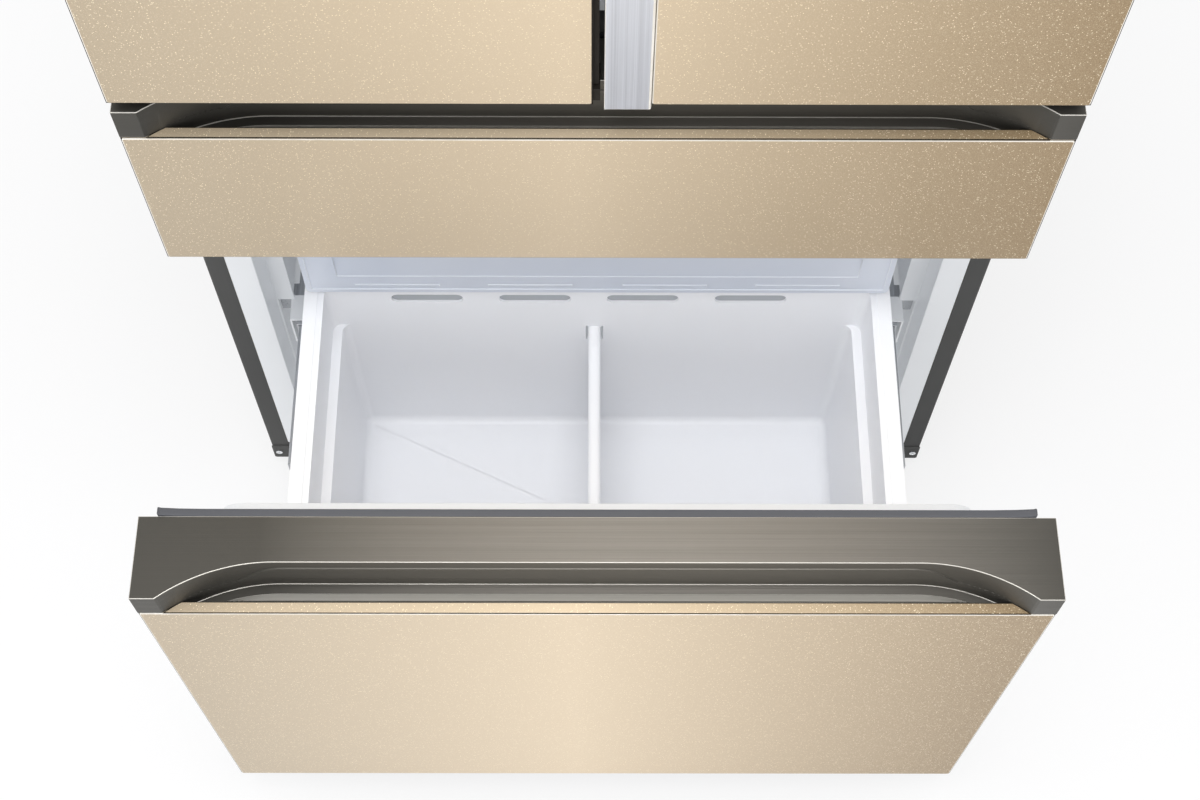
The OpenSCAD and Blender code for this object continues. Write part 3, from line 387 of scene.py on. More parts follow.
def painted_dark():
    return moulded("painted_dark", linear(84, 84, 83), linear(76, 76, 76),
                   rough=0.6, grain=1500, depth=0.12, gloss=0.08)


def liner_white():
    # The liner's glow is painted light that lifts its shade.
    return moulded("liner_white", linear(220, 222, 224), linear(213, 216, 220),
                   rough=0.34, grain=900, depth=0.03, coat=0.1, glow=0.17)


def basket_white():
    return moulded("basket_white", linear(250, 251, 254), linear(245, 247, 251),
                   rough=0.4, grain=1100, depth=0.03, coat=0.05, gloss=0.35)


def panel_frame():
    return moulded("panel_frame", linear(46, 42, 37), linear(38, 35, 31),
                   rough=0.5, grain=1600, depth=0.1, gloss=0.12)


def gasket_grey():
    return moulded("gasket_grey", linear(80, 82, 88), linear(73, 75, 80),
                   rough=0.6, grain=1200, depth=0.1)


def mullion_grey():
    return moulded("mullion_grey", linear(112, 112, 114), linear(98, 98, 101),
                   rough=0.45, grain=1500, depth=0.1)


def black_parts():
    return moulded("black_parts", linear(44, 44, 46), linear(33, 33, 35),
                   rough=0.55, grain=1300, depth=0.15)


def shelf_trim():
    return moulded("shelf_trim", linear(181, 185, 190), linear(170, 174, 179),
                   rough=0.36, grain=1500, depth=0.05, coat=0.1)


# %% Foam, clear plastic and shelf glass
def foam():
    """Poured foam: a warm ground with small pores."""
    made = Finish("foam", roughness=0.9)
    pores = made.noise(320, 4, 0.7).between(0.35, 0.65)
    made.sends(base_color=made.mix(pores, linear(222, 206, 160), linear(240, 228, 192)))
    made.bump(pores, 0.5, 0.0006)
    return made.material


def clear_plastic():
    """Translucent blue-white moulding: light passes a little, the edges stay milky."""
    made = Finish("clear_plastic", roughness=0.3, transmission_weight=0.25, ior=1.46)
    made.sends(base_color=made.mix(made.clouds(6), linear(230, 235, 245), linear(220, 227, 240)))
    made.bump(made.noise(900), 0.03, SKIN_RELIEF)
    return made.material


def shelf_glass():
    made = Finish("shelf_glass", roughness=0.04, transmission_weight=0.9, ior=1.5)
    made.sends(base_color=made.mix(made.clouds(8), linear(226, 241, 236), linear(216, 236, 230)))
    return made.material


# %% [markdown]
# ## Every CAD node gets its finish
#
# The record names a material slot for each node. Going through that list here means that a node
# that a later step replaces already has the right finish, and nothing is left in plain grey.

# %% Give the nodes their finishes
MAKERS = [gold_glass, titanium, silver_strip, slide_steel, bright_steel, galvanised,
          painted_dark, liner_white, basket_white, panel_frame, gasket_grey, mullion_grey,
          black_parts, shelf_trim, foam, clear_plastic, shelf_glass]
finishes = {maker.__name__: maker() for maker in MAKERS}
slot_of = {part["node"]: part["material_slot"] for part in frame["record"]["subparts"]}
bodies = frame["record"]["behaviour"]["bodies"]
body_of = {node: body for body, nodes in bodies.items() for node in nodes}
for name, node in frame["nodes"].items():
    node.data.materials.clear()
    node.data.materials.append(finishes[slot_of[name]])
print("finishes:", len(finishes))

# %% [markdown]
# ## Working by hand, in code
#
# The visible pieces are modelled with the same operators that a person would use: add a block,
# select some of it, bevel, inset, extrude, cut. Operators act on the selection, so these helpers
# select by place or direction instead of by clicking. A finished piece takes its node's finish
# and body, and stands in for the node.

# %% Select and edit
def only(*chosen):
    """Select these objects and nothing else, the first one active."""
    bpy.ops.object.select_all(action="DESELECT")
    for item in chosen:
        item.select_set(True)
    bpy.context.view_layer.objects.active = chosen[0]


def middle(item):
    """The middle of an edge or a face."""
    return sum((v.co for v in item.verts), Vector()) / len(item.verts)


def runs_along(edge, axis):
    """Whether an edge lies along X, Y or Z, given as 0, 1 or 2."""
    line = edge.verts[1].co - edge.verts[0].co
    return abs(line[axis]) > 0.99 * line.length


@contextlib.contextmanager
def editing(piece):
    """Edit mode on one piece, with vertices to select and none selected, and out of it again."""
    only(piece)
    bpy.ops.object.mode_set(mode="EDIT")
    bpy.ops.mesh.select_mode(type="VERT")
    bpy.ops.mesh.select_all(action="DESELECT")
    yield
    bpy.ops.object.mode_set(mode="OBJECT")


def pick(kind, test):
    """Select each VERT, EDGE or FACE of the edited piece that passes a test, and no others."""
    bpy.ops.mesh.select_mode(type=kind)
    bpy.ops.mesh.select_all(action="DESELECT")
    cage = bmesh.from_edit_mesh(bpy.context.edit_object.data)
    items = {"VERT": cage.verts, "EDGE": cage.edges, "FACE": cage.faces}[kind]
    chosen = [item for item in items if test(item)]
    for item in chosen:
        item.select_set(True)
    cage.select_flush_mode()
    bmesh.update_edit_mesh(bpy.context.edit_object.data)
    return len(chosen)


# A piece's finishes by their numbers: first its node's own, and then that of its edges, where a
# highlight or, on the gold lips, a shadow line is painted.
OWN, EDGE = 0, 1


def paint(index):
    """Give the selected faces one of the piece's finishes, by its number."""
    bpy.context.object.active_material_index = index
    bpy.ops.object.material_slot_assign()


# %% Add, cut, round and dress
def settle(piece):
    """Put the place of an object into its mesh."""
    only(piece)
    bpy.ops.object.transform_apply(location=True, rotation=True, scale=True)
    return piece


def block(name, low, high):
    """A box between two corners."""
    bpy.ops.object.select_all(action="DESELECT")
    low, high = Vector(low), Vector(high)
    bpy.ops.mesh.primitive_cube_add(size=1, location=(low + high) / 2, scale=high - low)
    bpy.context.object.name = name
    return settle(bpy.context.object)


def modify(piece, kind, **settings):
    """Add a modifier and apply it."""
    step = piece.modifiers.new(kind.lower(), kind)
    for label, setting in settings.items():
        setattr(step, label, setting)
    only(piece)
    bpy.ops.object.modifier_apply(modifier=step.name)
    return piece


def cut(piece, tool, operation="DIFFERENCE"):
    """A boolean with a tool, which is used up."""
    modify(piece, "BOOLEAN", operation=operation, object=tool, solver="EXACT")
    bpy.data.objects.remove(tool)
    return piece


def copied(piece, name):
    """A copy with its own mesh."""
    made = bpy.data.objects.new(name, piece.data.copy())
    bpy.context.scene.collection.objects.link(made)
    return settle(made)


def shaded(piece, angle=35):
    """Smooth shading up to an angle. Large faces win over narrow ones, so that flats stay flat."""
    only(piece)
    bpy.ops.object.shade_smooth_by_angle(angle=math.radians(angle))
    return modify(piece, "WEIGHTED_NORMAL", keep_sharp=True)


def rounded(piece, width, segments=2, angle=35, **settings):
    """Round the edges that are sharper than an angle, and shade the piece smooth."""
    modify(piece, "BEVEL", width=width, segments=segments, limit_method="ANGLE",
           angle_limit=math.radians(angle), **settings)
    return shaded(piece, angle)


def dressed(piece, node, *more):
    """Give a piece its node's finish and body, and let it stand in for the node."""
    piece.data.materials.clear()
    for finish in (finishes[slot_of[node]],) + more:
        piece.data.materials.append(finish)
    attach(piece, body_of[node])
    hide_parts(node)
    return piece


# %% [markdown]
# ## Glass fronts
#
# Each front is one sheet of tempered glass: corners ground to a small radius and a polished
# chamfer round the face, which catches the light as a thin white line. A plain block could carry
# that line in its material, but a real chamfer also shows it from the side, so the corners and
# then the rim of the front face are bevelled, and the bevel gets a near-white finish: a painted
# highlight. The lower chamfer, and that along the gap between the doors, look onto the dark frame
# and get its finish, which paints them in shade.

# %% Polished edges, painted as a highlight
def glass_edge_highlight():
    """A painted highlight: ground and polished glass, coloured nearly white beside the lacquer."""
    made = Finish("glass_edge_highlight", metallic=0.2, roughness=0.16, coat_weight=0.5)
    made.sends(base_color=made.mix(made.clouds(60), linear(250, 246, 238), linear(236, 230, 218)))
    return made.material


edge_highlight_finish = glass_edge_highlight()
GLASS_CORNER = 2.5 * MM
GLASS_CHAMFER = 1.1 * MM
PAINTED_SHADE_EDGE = 2
GLASS_NODES = ("left_door_glass", "right_door_glass", "middle_glass", "freezer_glass")


def glass_sheet(node):
    pane = block(node + "_sheet", *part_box(node))
    dressed(pane, node, edge_highlight_finish, finishes["panel_frame"])
    with editing(pane):
        pick("EDGE", lambda edge: runs_along(edge, 1))
        bpy.ops.mesh.bevel(offset=GLASS_CORNER, segments=4)
        pick("FACE", lambda face: face.normal.y < -0.9)
        bpy.ops.mesh.region_to_loop()
        # The chamfer gets the near-white edge finish, a painted highlight.
        bpy.ops.mesh.bevel(offset=GLASS_CHAMFER, segments=2, material=EDGE)
        # Painted shade: the lower chamfers, and the left door's along the gap, get the frame's dark
        # finish.
        pick("FACE", lambda face: face.material_index == EDGE
             and (face.normal.z < -0.2 or node == "left_door_glass" and face.normal.x > 0.2))
        paint(PAINTED_SHADE_EDGE)
    return shaded(pane)


# %% Cut the four sheets
sheets = [glass_sheet(node) for node in GLASS_NODES]
print("glass sheets:", [piece.name for piece in sheets])

# %% [markdown]
# ## The handle strip
#
# The silver strip is a folded extrusion: a flat face, a return along the gap between the doors
# and a wide bright chamfer on the side of the glass. It is a block whose back grows the return by
# an extrusion, and whose front edges are bevelled one after the other, each by its own width. The
# bevels get the near-white finish of the glass edges, a painted highlight.

# %% Fold the handle strip
STRIP_FACE = 2.7 * MM
STRIP_RETURN = 2 * MM
STRIP_CHAMFER = 2.4 * MM
STRIP_EDGE = 0.7 * MM


def handle_strip():
    low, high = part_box("handle_strip")
    strip = block("handle_strip_fold", low, (high.x, low.y + STRIP_FACE, high.z))
    dressed(strip, "handle_strip", edge_highlight_finish)
    with editing(strip):
        bpy.ops.mesh.select_all(action="SELECT")
        bpy.ops.mesh.bisect(plane_co=(low.x + STRIP_RETURN, 0, 0), plane_no=(1, 0, 0))
        pick("FACE", lambda face: face.normal.y > 0.9 and middle(face).x < low.x + STRIP_RETURN)
        bpy.ops.mesh.extrude_region_move(
            TRANSFORM_OT_translate={"value": (0, high.y - low.y - STRIP_FACE, 0)})
        pick("EDGE", lambda edge: runs_along(edge, 2) and middle(edge).y < low.y + STRIP_EDGE
             and middle(edge).x > high.x - STRIP_EDGE)
        # The bevels get the near-white edge finish, a painted highlight.
        bpy.ops.mesh.bevel(offset=STRIP_CHAMFER, segments=2, material=EDGE)
        for axis in (0, 2):
            pick("EDGE", lambda edge: middle(edge).y < low.y + HAIR
                 and middle(edge)[axis] < low[axis] + STRIP_EDGE)
            bpy.ops.mesh.bevel(offset=STRIP_EDGE, segments=2, material=EDGE)
    return shaded(strip)


print("handle strip faces:", len(handle_strip().data.polygons))

# %% [markdown]
# ## Grip caps
#
# The cap on each drawer front is a single moulding. Its opening is a scoop whose straight back
# wall swings out to the front along an arc at each end; below it, behind the lip, a finger pocket
# slopes down to a narrow floor that follows the same curve. Sculpting it would be guesswork.
# Instead the two hollows are modelled as solids and subtracted: the scoop's outline is one vertex
# spun round the arc's centre and mirrored, and the pocket grows from the same arc by extrusions,
# each one flattened or shifted before the next. The back wall has a shallow panel that stands a
# little proud. So the scoop is cut only as deep as the panel's face, and a third solid, the brow,
# takes the wall above the panel down to its full depth. The light is partly painted on: the
# rounded edges get a painted highlight, the slope behind the lip a lighter tone as if lit, and
# the walls painted shade.

# %% Outlines of the scoop
SCOOP_DEPTH = 35 * MM
SCOOP_END = 22.5 * MM
SCOOP_RUN = 104 * MM
POCKET_DEPTH = 17 * MM
LIP_DEPTH = 11 * MM
POCKET_FLOOR = 10.5 * MM
TROUGH_WALL = 2.5 * MM
SPARE = 2 * MM
SCOOP_LAP = 2 * MM
TROUGH_END = 14 * MM
ARC_STEPS = 20
ARC_RADIUS = (SCOOP_RUN ** 2 + SCOOP_DEPTH ** 2) / (2 * SCOOP_DEPTH)


def half_scoop(name, straight, back, depth, z):
    """The right half of the scoop's plan: a straight from the middle, then an arc of a depth."""
    bpy.ops.object.select_all(action="DESELECT")
    bpy.ops.mesh.primitive_plane_add(size=MM, location=(straight, back, z))
    line = settle(bpy.context.object)
    line.name = name
    swing = math.acos(1 - depth / ARC_RADIUS)
    with editing(line):
        bpy.ops.mesh.select_all(action="SELECT")
        bpy.ops.mesh.merge(type="CENTER")
        bpy.ops.mesh.spin(steps=ARC_STEPS, angle=swing, axis=(0, 0, 1),
                          center=(straight, back - ARC_RADIUS, z))
        pick("VERT", lambda vert: vert.co.x < straight + HAIR)
        bpy.ops.mesh.extrude_vertices_move(TRANSFORM_OT_translate={"value": (-straight, 0, 0)})
    return line


def mirrored(piece):
    """The piece and its mirror image across the middle plane, merged there."""
    modify(piece, "MIRROR", use_axis=(True, False, False), merge_threshold=HAIR)
    return piece


def filled(piece, kind, test):
    """Fill the loop of edges or vertices that pass a test, and point all faces outwards."""
    with editing(piece):
        pick(kind, test)
        bpy.ops.mesh.edge_face_add()
        bpy.ops.mesh.select_all(action="SELECT")
        bpy.ops.mesh.normals_make_consistent(inside=False)
    return piece


def brought_to(y, test):
    """Move the vertices that pass a test onto one plane across Y."""
    if pick("VERT", test):
        bpy.ops.transform.resize(value=(1, 0, 1), center_override=(0, y, 0))


# %% The two hollows, as solids
def scoop_solid(name, front, low, top):
    """The space of the scoop between two heights, and a little in front of it."""
    back = front + SCOOP_DEPTH
    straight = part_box("freezer_grip")[1].x - SCOOP_END - SCOOP_RUN
    solid = mirrored(half_scoop(name, straight, back, SCOOP_DEPTH + SPARE, low))
    ends = back - SCOOP_DEPTH - SPARE + HAIR
    filled(solid, "VERT", lambda vert: vert.co.y < ends)
    filled(solid, "VERT", lambda vert: True)
    with editing(solid):
        bpy.ops.mesh.select_all(action="SELECT")
        bpy.ops.mesh.extrude_region_move(TRANSFORM_OT_translate={"value": (0, 0, top - low)})
        bpy.ops.mesh.select_all(action="SELECT")
        bpy.ops.mesh.normals_make_consistent(inside=False)
    return solid


def pocket_solid(name, front, z):
    """The finger pocket: its back goes down, its floor forward, and its front up to the lip."""
    back, lip, floor = front + SCOOP_DEPTH, front + LIP_DEPTH, z - POCKET_DEPTH
    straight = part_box("freezer_grip")[1].x - SCOOP_END - SCOOP_RUN
    solid = half_scoop(name, straight, back, SCOOP_DEPTH - LIP_DEPTH, z + SPARE)
    with editing(solid):
        bpy.ops.mesh.select_all(action="SELECT")
        for drop in (SPARE, POCKET_DEPTH):
            bpy.ops.mesh.extrude_edges_move(TRANSFORM_OT_translate={"value": (0, 0, -drop)})
        bpy.ops.mesh.extrude_edges_move(TRANSFORM_OT_translate={"value": (0, -POCKET_FLOOR, 0)})
        brought_to(lip, lambda vert: vert.co.z < floor + HAIR and vert.co.y < lip)
        pick("EDGE", lambda edge: edge.is_boundary and middle(edge).z < floor + HAIR
             and not runs_along(edge, 2) and not runs_along(edge, 1))
        bpy.ops.mesh.extrude_edges_move(TRANSFORM_OT_translate={"value": (0, 0, POCKET_DEPTH)})
        bpy.ops.transform.resize(value=(1, 0, 1), center_override=(0, lip, 0))
        bpy.ops.mesh.extrude_edges_move(TRANSFORM_OT_translate={"value": (0, 0, SPARE)})
        bpy.ops.mesh.select_all(action="SELECT")
        bpy.ops.mesh.remove_doubles(threshold=HAIR)
    mirrored(solid)
    return filled(solid, "EDGE", lambda edge: edge.is_boundary)


# %% The brow above the back wall's panel
PANEL_HALF = 355 * MM
PANEL_SHOULDER = 297 * MM
PANEL_TOP = 24 * MM
PANEL_FALL = 40 * MM
PANEL_STEP = 1.6 * MM
PANEL_ROUND = 12 * MM


def brow_solid(front, z, top):
    """What is cut from the wall above its panel, whose top edge falls at both ends."""
    low, high = z - POCKET_DEPTH, z + PANEL_TOP
    arch = block("arch", (-PANEL_HALF, front - SPARE, low),
                 (PANEL_HALF, front + 2 * SCOOP_DEPTH, high))
    with editing(arch):
        for side in (-1, 1):
            bpy.ops.mesh.select_all(action="SELECT")
            bpy.ops.mesh.bisect(plane_co=(side * PANEL_SHOULDER, 0, 0), plane_no=(1, 0, 0))
        pick("EDGE", lambda edge: runs_along(edge, 1) and middle(edge).z > z
             and abs(middle(edge).x) > PANEL_SHOULDER + MM)
        bpy.ops.transform.translate(value=(0, 0, -PANEL_FALL))
        pick("EDGE", lambda edge: runs_along(edge, 1) and middle(edge).z > z)
        bpy.ops.mesh.bevel(offset=PANEL_ROUND, segments=4)
    return cut(scoop_solid("brow", front, z - SCOOP_LAP, top + SPARE), arch)


# %% The cap's painted highlight, painted lit slope and painted shade
def edge_highlight_metal():
    """A painted highlight: a pale brushed metal on the rounded edges, where brushed metal turns
    over.
    """
    return brushed("edge_highlight_metal", linear(188, 185, 178), linear(206, 203, 196), (5, 900, 900),
                   rough=0.32, metallic=0.3)


def painted_lit_slope():
    """Painted light: the slope behind the lip in a lighter tone, where the cap turns towards the
    light.
    """
    return brushed("painted_lit_slope", linear(222, 219, 212), linear(238, 235, 228), (5, 1500, 1500),
                   rough=0.4, metallic=0.2)


def painted_shade_wall():
    """Painted shade: the scoop's wall, a tone darker than the cap's face and darker to both sides.
    """
    return brushed("painted_shade_wall", linear(93, 90, 83), linear(112, 108, 101), (5, 1500, 1500),
                   rough=0.5, metallic=0.5, ends=PAINTED_SIDE_SHADE)


cap_painted_light = edge_highlight_metal(), painted_lit_slope(), painted_shade_wall()

# %% Mould a cap
CAP_EDGE = 0.7 * MM
LIT_SLOPE_FINISH, SHADE_WALL_FINISH = 2, 3
FACE_DEPTH = 2 * MM
LEDGE_SPAN = (10 * MM, 3 * MM)


def grip_cap(node, trim):
    low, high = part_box(node)
    front, z = low.y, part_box(trim)[1].z
    cap = block(node + "_cap", (low.x, front, z), high)
    half = high.x - SCOOP_END - TROUGH_END + TROUGH_WALL
    trough = block("trough", (-half, front + LIP_DEPTH - TROUGH_WALL, low.z),
                   (half, front + SCOOP_DEPTH + TROUGH_WALL, z + SPARE))
    cut(cap, trough, "UNION")
    cut(cap, scoop_solid("scoop", front - PANEL_STEP, z - SCOOP_LAP, high.z + SPARE))
    cut(cap, pocket_solid("pocket", front, z))
    cut(cap, brow_solid(front, z, high.z))
    dressed(cap, node, *cap_painted_light)
    with editing(cap):
        bpy.ops.mesh.select_all(action="SELECT")
        bpy.ops.mesh.remove_doubles(threshold=HAIR)
        bpy.ops.mesh.dissolve_limited(angle_limit=FLAT_ANGLE)
        bpy.ops.mesh.select_all(action="SELECT")
        bpy.ops.mesh.fill_holes(sides=0)
        # Painted light: the slope behind the lip takes a lighter tone.
        pick("FACE", lambda face: face.normal.y > 0.4 and face.normal.z > 0.4)
        paint(LIT_SLOPE_FINISH)
        # Painted shade: the scoop's wall takes a darker tone.
        pick("FACE", lambda face: abs(face.normal.z) < 0.1 and face.normal.y < -0.3
             and front + FACE_DEPTH < middle(face).y < front + SCOOP_DEPTH + MM)
        paint(SHADE_WALL_FINISH)
    # The rounded edges get a painted highlight.
    rounded(cap, CAP_EDGE, material=EDGE, use_clamp_overlap=False)
    with editing(cap):
        # Upright edges lose the painted highlight, and those on the wall take the painted shade.
        pick("FACE", lambda face: face.material_index == EDGE and abs(face.normal.z) < 0.05)
        paint(OWN)
        pick("FACE", lambda face: face.material_index == EDGE
             and middle(face).y > front + FACE_DEPTH
             and z - LEDGE_SPAN[0] < middle(face).z < high.z - LEDGE_SPAN[1])
        paint(SHADE_WALL_FINISH)
    return cap


# %% Mould both caps
caps = [grip_cap("freezer_grip", "freezer_trim"), grip_cap("middle_grip", "middle_trim")]
print("grip caps:", [len(cap.data.polygons) for cap in caps])

# %% [markdown]
# ## Gold lips
#
# The strip in front of each pocket is the top of the glass with its gold backing, cut to the
# scoop's outline, so its ends run out to sharp mitres. It is the scoop's own solid, sliced thin
# and bisected at the lip's back and front. Its rounded edges get the dark frame's finish, a
# painted shadow line along the lip.

# %% Slice the lips
LIP_EDGE = 0.9 * MM


def gold_lip(node):
    low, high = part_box(node)
    lip = scoop_solid(node + "_slice", low.y, low.z, high.z)
    with editing(lip):
        for place, side in ((high.y, 1), (low.y, -1)):
            bpy.ops.mesh.select_all(action="SELECT")
            bpy.ops.mesh.bisect(plane_co=(0, place, 0), plane_no=(0, side, 0),
                                clear_outer=True, use_fill=True)
    # The lip's rounded edges take the frame's dark finish, a painted shadow line.
    return rounded(dressed(lip, node, finishes["panel_frame"]), LIP_EDGE, material=EDGE)


lips = [gold_lip("freezer_trim"), gold_lip("middle_trim")]
print("lip faces:", [len(lip.data.polygons) for lip in lips])

# %% [markdown]
# ## The basket
#
# The basket is one white injection moulding: a wide flat rim, upright walls down to a narrow
# ledge at each side, a slightly narrower tub below it with a round fillet at the floor, and a row
# of slots in the back. A shallow step runs round the inner edge of the rim. Modelling the wall as
# a solid would mean keeping two skins in step, so only the inner skin is modelled, as a box that
# grows downwards by extrusions, and Solidify gives it its wall. The corners are bevelled first,
# while there are only four of them.

# %% Named sizes of the basket
BASKET_HALF = 303.5 * MM
BASKET_FLOOR = 250 * MM
BASKET_WALL = 3 * MM
BASKET_RIM = 20 * MM
FRONT_RIM = 6.4 * MM
BACK_RIM = 10 * MM
BASKET_CORNER = 9 * MM
LEDGE_WIDTH = 10 * MM
LEDGE_HEIGHT = 481 * MM
WALL_DRAFT = 2 * MM
FLOOR_ROUND = 9 * MM
RIM_SKIRT = 14 * MM
SEAT_WIDTH = 6.5 * MM
SEAT_ENDS = 1 * MM
SEAT_DEPTH = 1.4 * MM
BASKET_EDGE = 1.2 * MM
SOFT_ANGLE = 40


def resized_to(width, depth, centre):
    """Scale what is selected, about a centre, to a width along X and a depth along Y."""
    cage = bmesh.from_edit_mesh(bpy.context.edit_object.data)
    spans = [[vert.co[axis] for vert in cage.verts if vert.select] for axis in (0, 1)]
    ratios = [goal / (max(span) - min(span)) for goal, span in zip((width, depth), spans)]
    bpy.ops.transform.resize(value=(*ratios, 1), center_override=centre)


# %% Grow the inner skin downwards and the rim outwards
def basket_skin(low, high):
    front, back, half = low.y + FRONT_RIM, high.y - BACK_RIM, BASKET_HALF - BASKET_RIM
    centre = (0, (front + back) / 2, 0)
    skin = block("basket_skin", (-half, front, LEDGE_HEIGHT), (half, back, high.z))
    with editing(skin):
        pick("EDGE", lambda edge: runs_along(edge, 2))
        bpy.ops.mesh.bevel(offset=BASKET_CORNER, segments=6)
        pick("FACE", lambda face: face.normal.z < -0.9)
        bpy.ops.mesh.extrude_region_move()
        resized_to(2 * (half - LEDGE_WIDTH), back - front, centre)
        bpy.ops.mesh.extrude_region_move(
            TRANSFORM_OT_translate={"value": (0, 0, BASKET_FLOOR - LEDGE_HEIGHT)})
        resized_to(2 * (half - LEDGE_WIDTH - WALL_DRAFT), back - front - WALL_DRAFT, centre)
        bpy.ops.mesh.region_to_loop()
        bpy.ops.mesh.bevel(offset=FLOOR_ROUND, segments=5)
        pick("FACE", lambda face: face.normal.z > 0.9 and middle(face).z > high.z - MM)
        bpy.ops.mesh.delete(type="FACE")
        pick("EDGE", lambda edge: edge.is_boundary)
        bpy.ops.transform.translate(value=(0, 0, -SEAT_DEPTH))
        bpy.ops.mesh.extrude_edges_move()
        resized_to(2 * (half + SEAT_WIDTH), back - front + 2 * SEAT_ENDS, centre)
        bpy.ops.mesh.extrude_edges_move(TRANSFORM_OT_translate={"value": (0, 0, SEAT_DEPTH)})
        bpy.ops.mesh.extrude_edges_move()
        resized_to(2 * BASKET_HALF, high.y - low.y, centre)
        bpy.ops.transform.translate(value=(0, (low.y + high.y) / 2 - centre[1], 0))
        bpy.ops.mesh.extrude_edges_move(TRANSFORM_OT_translate={"value": (0, 0, -RIM_SKIRT)})
        bpy.ops.mesh.select_all(action="SELECT")
        bpy.ops.mesh.normals_make_consistent(inside=True)
    return skin


# %% [markdown]
# The slots in the back, the two slits that the divider's hooks go through and the lugs that rest
# on the runners are each one small block, used once per place.

# %% Thicken it, cut the slots, add the lugs and round the edges
SLOT_SIZE = (75 * MM, 16 * MM)
SLOT_ROUND = 0.45
SLOT_PITCH = 113 * MM
SLOT_STEPS = (-1.5, -0.5, 0.5, 1.5)
SLOT_MIDDLE = (-9 * MM, 538 * MM)
SLIT_SIZE = (2.4 * MM, 30 * MM)
SLIT_ROUND = 0.4
SLIT_APART = 1.6 * MM
LUG_PLACES = (60 * MM, 150 * MM, 240 * MM)
LUG_SIZE = (36.2 * MM, 18 * MM, 14 * MM)
LUG_BOTTOM = 376 * MM


def slot_cutter(x, y, z, length, height, corner):
    """A block through the back wall with round corners."""
    cutter = block("slot", (x - length / 2, y - 2 * BASKET_WALL, z - height / 2),
                   (x + length / 2, y + 2 * BASKET_WALL, z + height / 2))
    with editing(cutter):
        pick("EDGE", lambda edge: runs_along(edge, 1))
        bpy.ops.mesh.bevel(offset=corner, segments=6)
    return cutter


def basket():
    low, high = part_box("freezer_basket")
    made = dressed(basket_skin(low, high), "freezer_basket")
    modify(made, "SOLIDIFY", thickness=BASKET_WALL, offset=1, use_even_offset=True)
    back = high.y - BACK_RIM
    for step in SLOT_STEPS:
        cut(made, slot_cutter(SLOT_MIDDLE[0] + step * SLOT_PITCH, back, SLOT_MIDDLE[1],
                              *SLOT_SIZE, SLOT_ROUND * SLOT_SIZE[1]))
    left, right = (corner.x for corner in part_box("basket_divider"))
    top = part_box("basket_divider")[1].z
    for x in (left - SLIT_APART, right + SLIT_APART):
        cut(made, slot_cutter(x, back, top - SLIT_SIZE[1] / 2,
                              *SLIT_SIZE, SLIT_ROUND * SLIT_SIZE[0]))
    for side in (-1, 1):
        for place in LUG_PLACES:
            inner, outer = side * (high.x - LUG_SIZE[0]), side * high.x
            start = low.y + place - LUG_SIZE[1]
            lug = block("lug", (min(inner, outer), start, LUG_BOTTOM),
                        (max(inner, outer), start + LUG_SIZE[1], LUG_BOTTOM + LUG_SIZE[2]))
            cut(made, lug, "UNION")
    with editing(made):
        bpy.ops.mesh.select_all(action="SELECT")
        bpy.ops.mesh.fill_holes(sides=0)
    return rounded(made, BASKET_EDGE, angle=SOFT_ANGLE)


tub = basket()
print("basket:", len(tub.data.polygons), "faces")

# %% A grey strip behind the slots, painted shade
SHADE_STRIP = (240 * MM, 2 * MM, 22 * MM)
SHADE_STRIP_GAP = 0.3 * MM
SHADE_STRIP_EDGE = 0.5 * MM


def slot_shade_strip():
    """A grey strip between the wall and the rim's skirt, which paints the shade seen through the
    slots.
    """
    x, z = SLOT_MIDDLE
    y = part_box("freezer_basket")[1].y - BACK_RIM + BASKET_WALL + SHADE_STRIP_GAP
    strip = block("slot_shade_strip", (x - SHADE_STRIP[0], y, z - SHADE_STRIP[2] / 2),
                  (x + SHADE_STRIP[0], y + SHADE_STRIP[1], z + SHADE_STRIP[2] / 2))
    # The strip's grey stands in for the shaded space behind the slots.
    strip.data.materials.append(finishes["shelf_trim"])
    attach(strip, body_of["freezer_basket"])
    return rounded(strip, SHADE_STRIP_EDGE)


print("slot backing:", len(slot_shade_strip().data.polygons), "faces")

# %% [markdown]
# ## The basket's divider
#
# A hollow moulded wall, 13 mm thick, with a full round along its top. A bevel of the two upper
# edges by nearly half the thickness makes that round, and the lower edges stay sharp against the
# floor.

# %% Round the divider's top
DIVIDER_ROUND = 0.42


def divider():
    wall = dressed(block("divider_wall", *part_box("basket_divider")), "basket_divider")
    low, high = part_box("basket_divider")
    with editing(wall):
        pick("EDGE", lambda edge: runs_along(edge, 1) and middle(edge).z > high.z - MM)
        bpy.ops.mesh.bevel(offset=DIVIDER_ROUND * (high.x - low.x), segments=6)
    return shaded(wall, angle=50)


print("divider:", len(divider().data.polygons), "faces")

# %% [markdown]
# ## The inner tray
#
# The tray is a clear-grey moulding. Its front shows a raised border, a bare recessed panel and
# four short ribs near the bottom edge. The tub is one block: its lower corners are rounded, the
# top face is inset and pushed down to leave the walls, and the front face is inset and pushed in
# to leave the border. The panel is cut and the ribs are added afterwards, because they have their
# own rounding. The rounded edges get a near-white finish with a small glow, brighter than the
# walls: a painted highlight along every edge.

# %% Shape the tray
TRAY_HALF = 299.5 * MM
TRAY_WALL = 2.5 * MM
TRAY_CORNER = 6 * MM
TRAY_BORDER = 5.5 * MM
BORDER_STEP = 1.2 * MM
TRAY_PANEL = (265 * MM, 30 * MM)
PANEL_INSET = 0.9 * MM
RIB_SIZE = (86 * MM, 3 * MM)
RIB_PLACES = (-205 * MM, -69 * MM, 69 * MM, 205 * MM)
RIB_HEIGHT = 13 * MM
RIB_BACK = 0.2 * MM
FLANGE_LOW = 583.5 * MM
FLANGE_ENDS = (40 * MM, 10 * MM)
TRAY_EDGE = 0.6 * MM


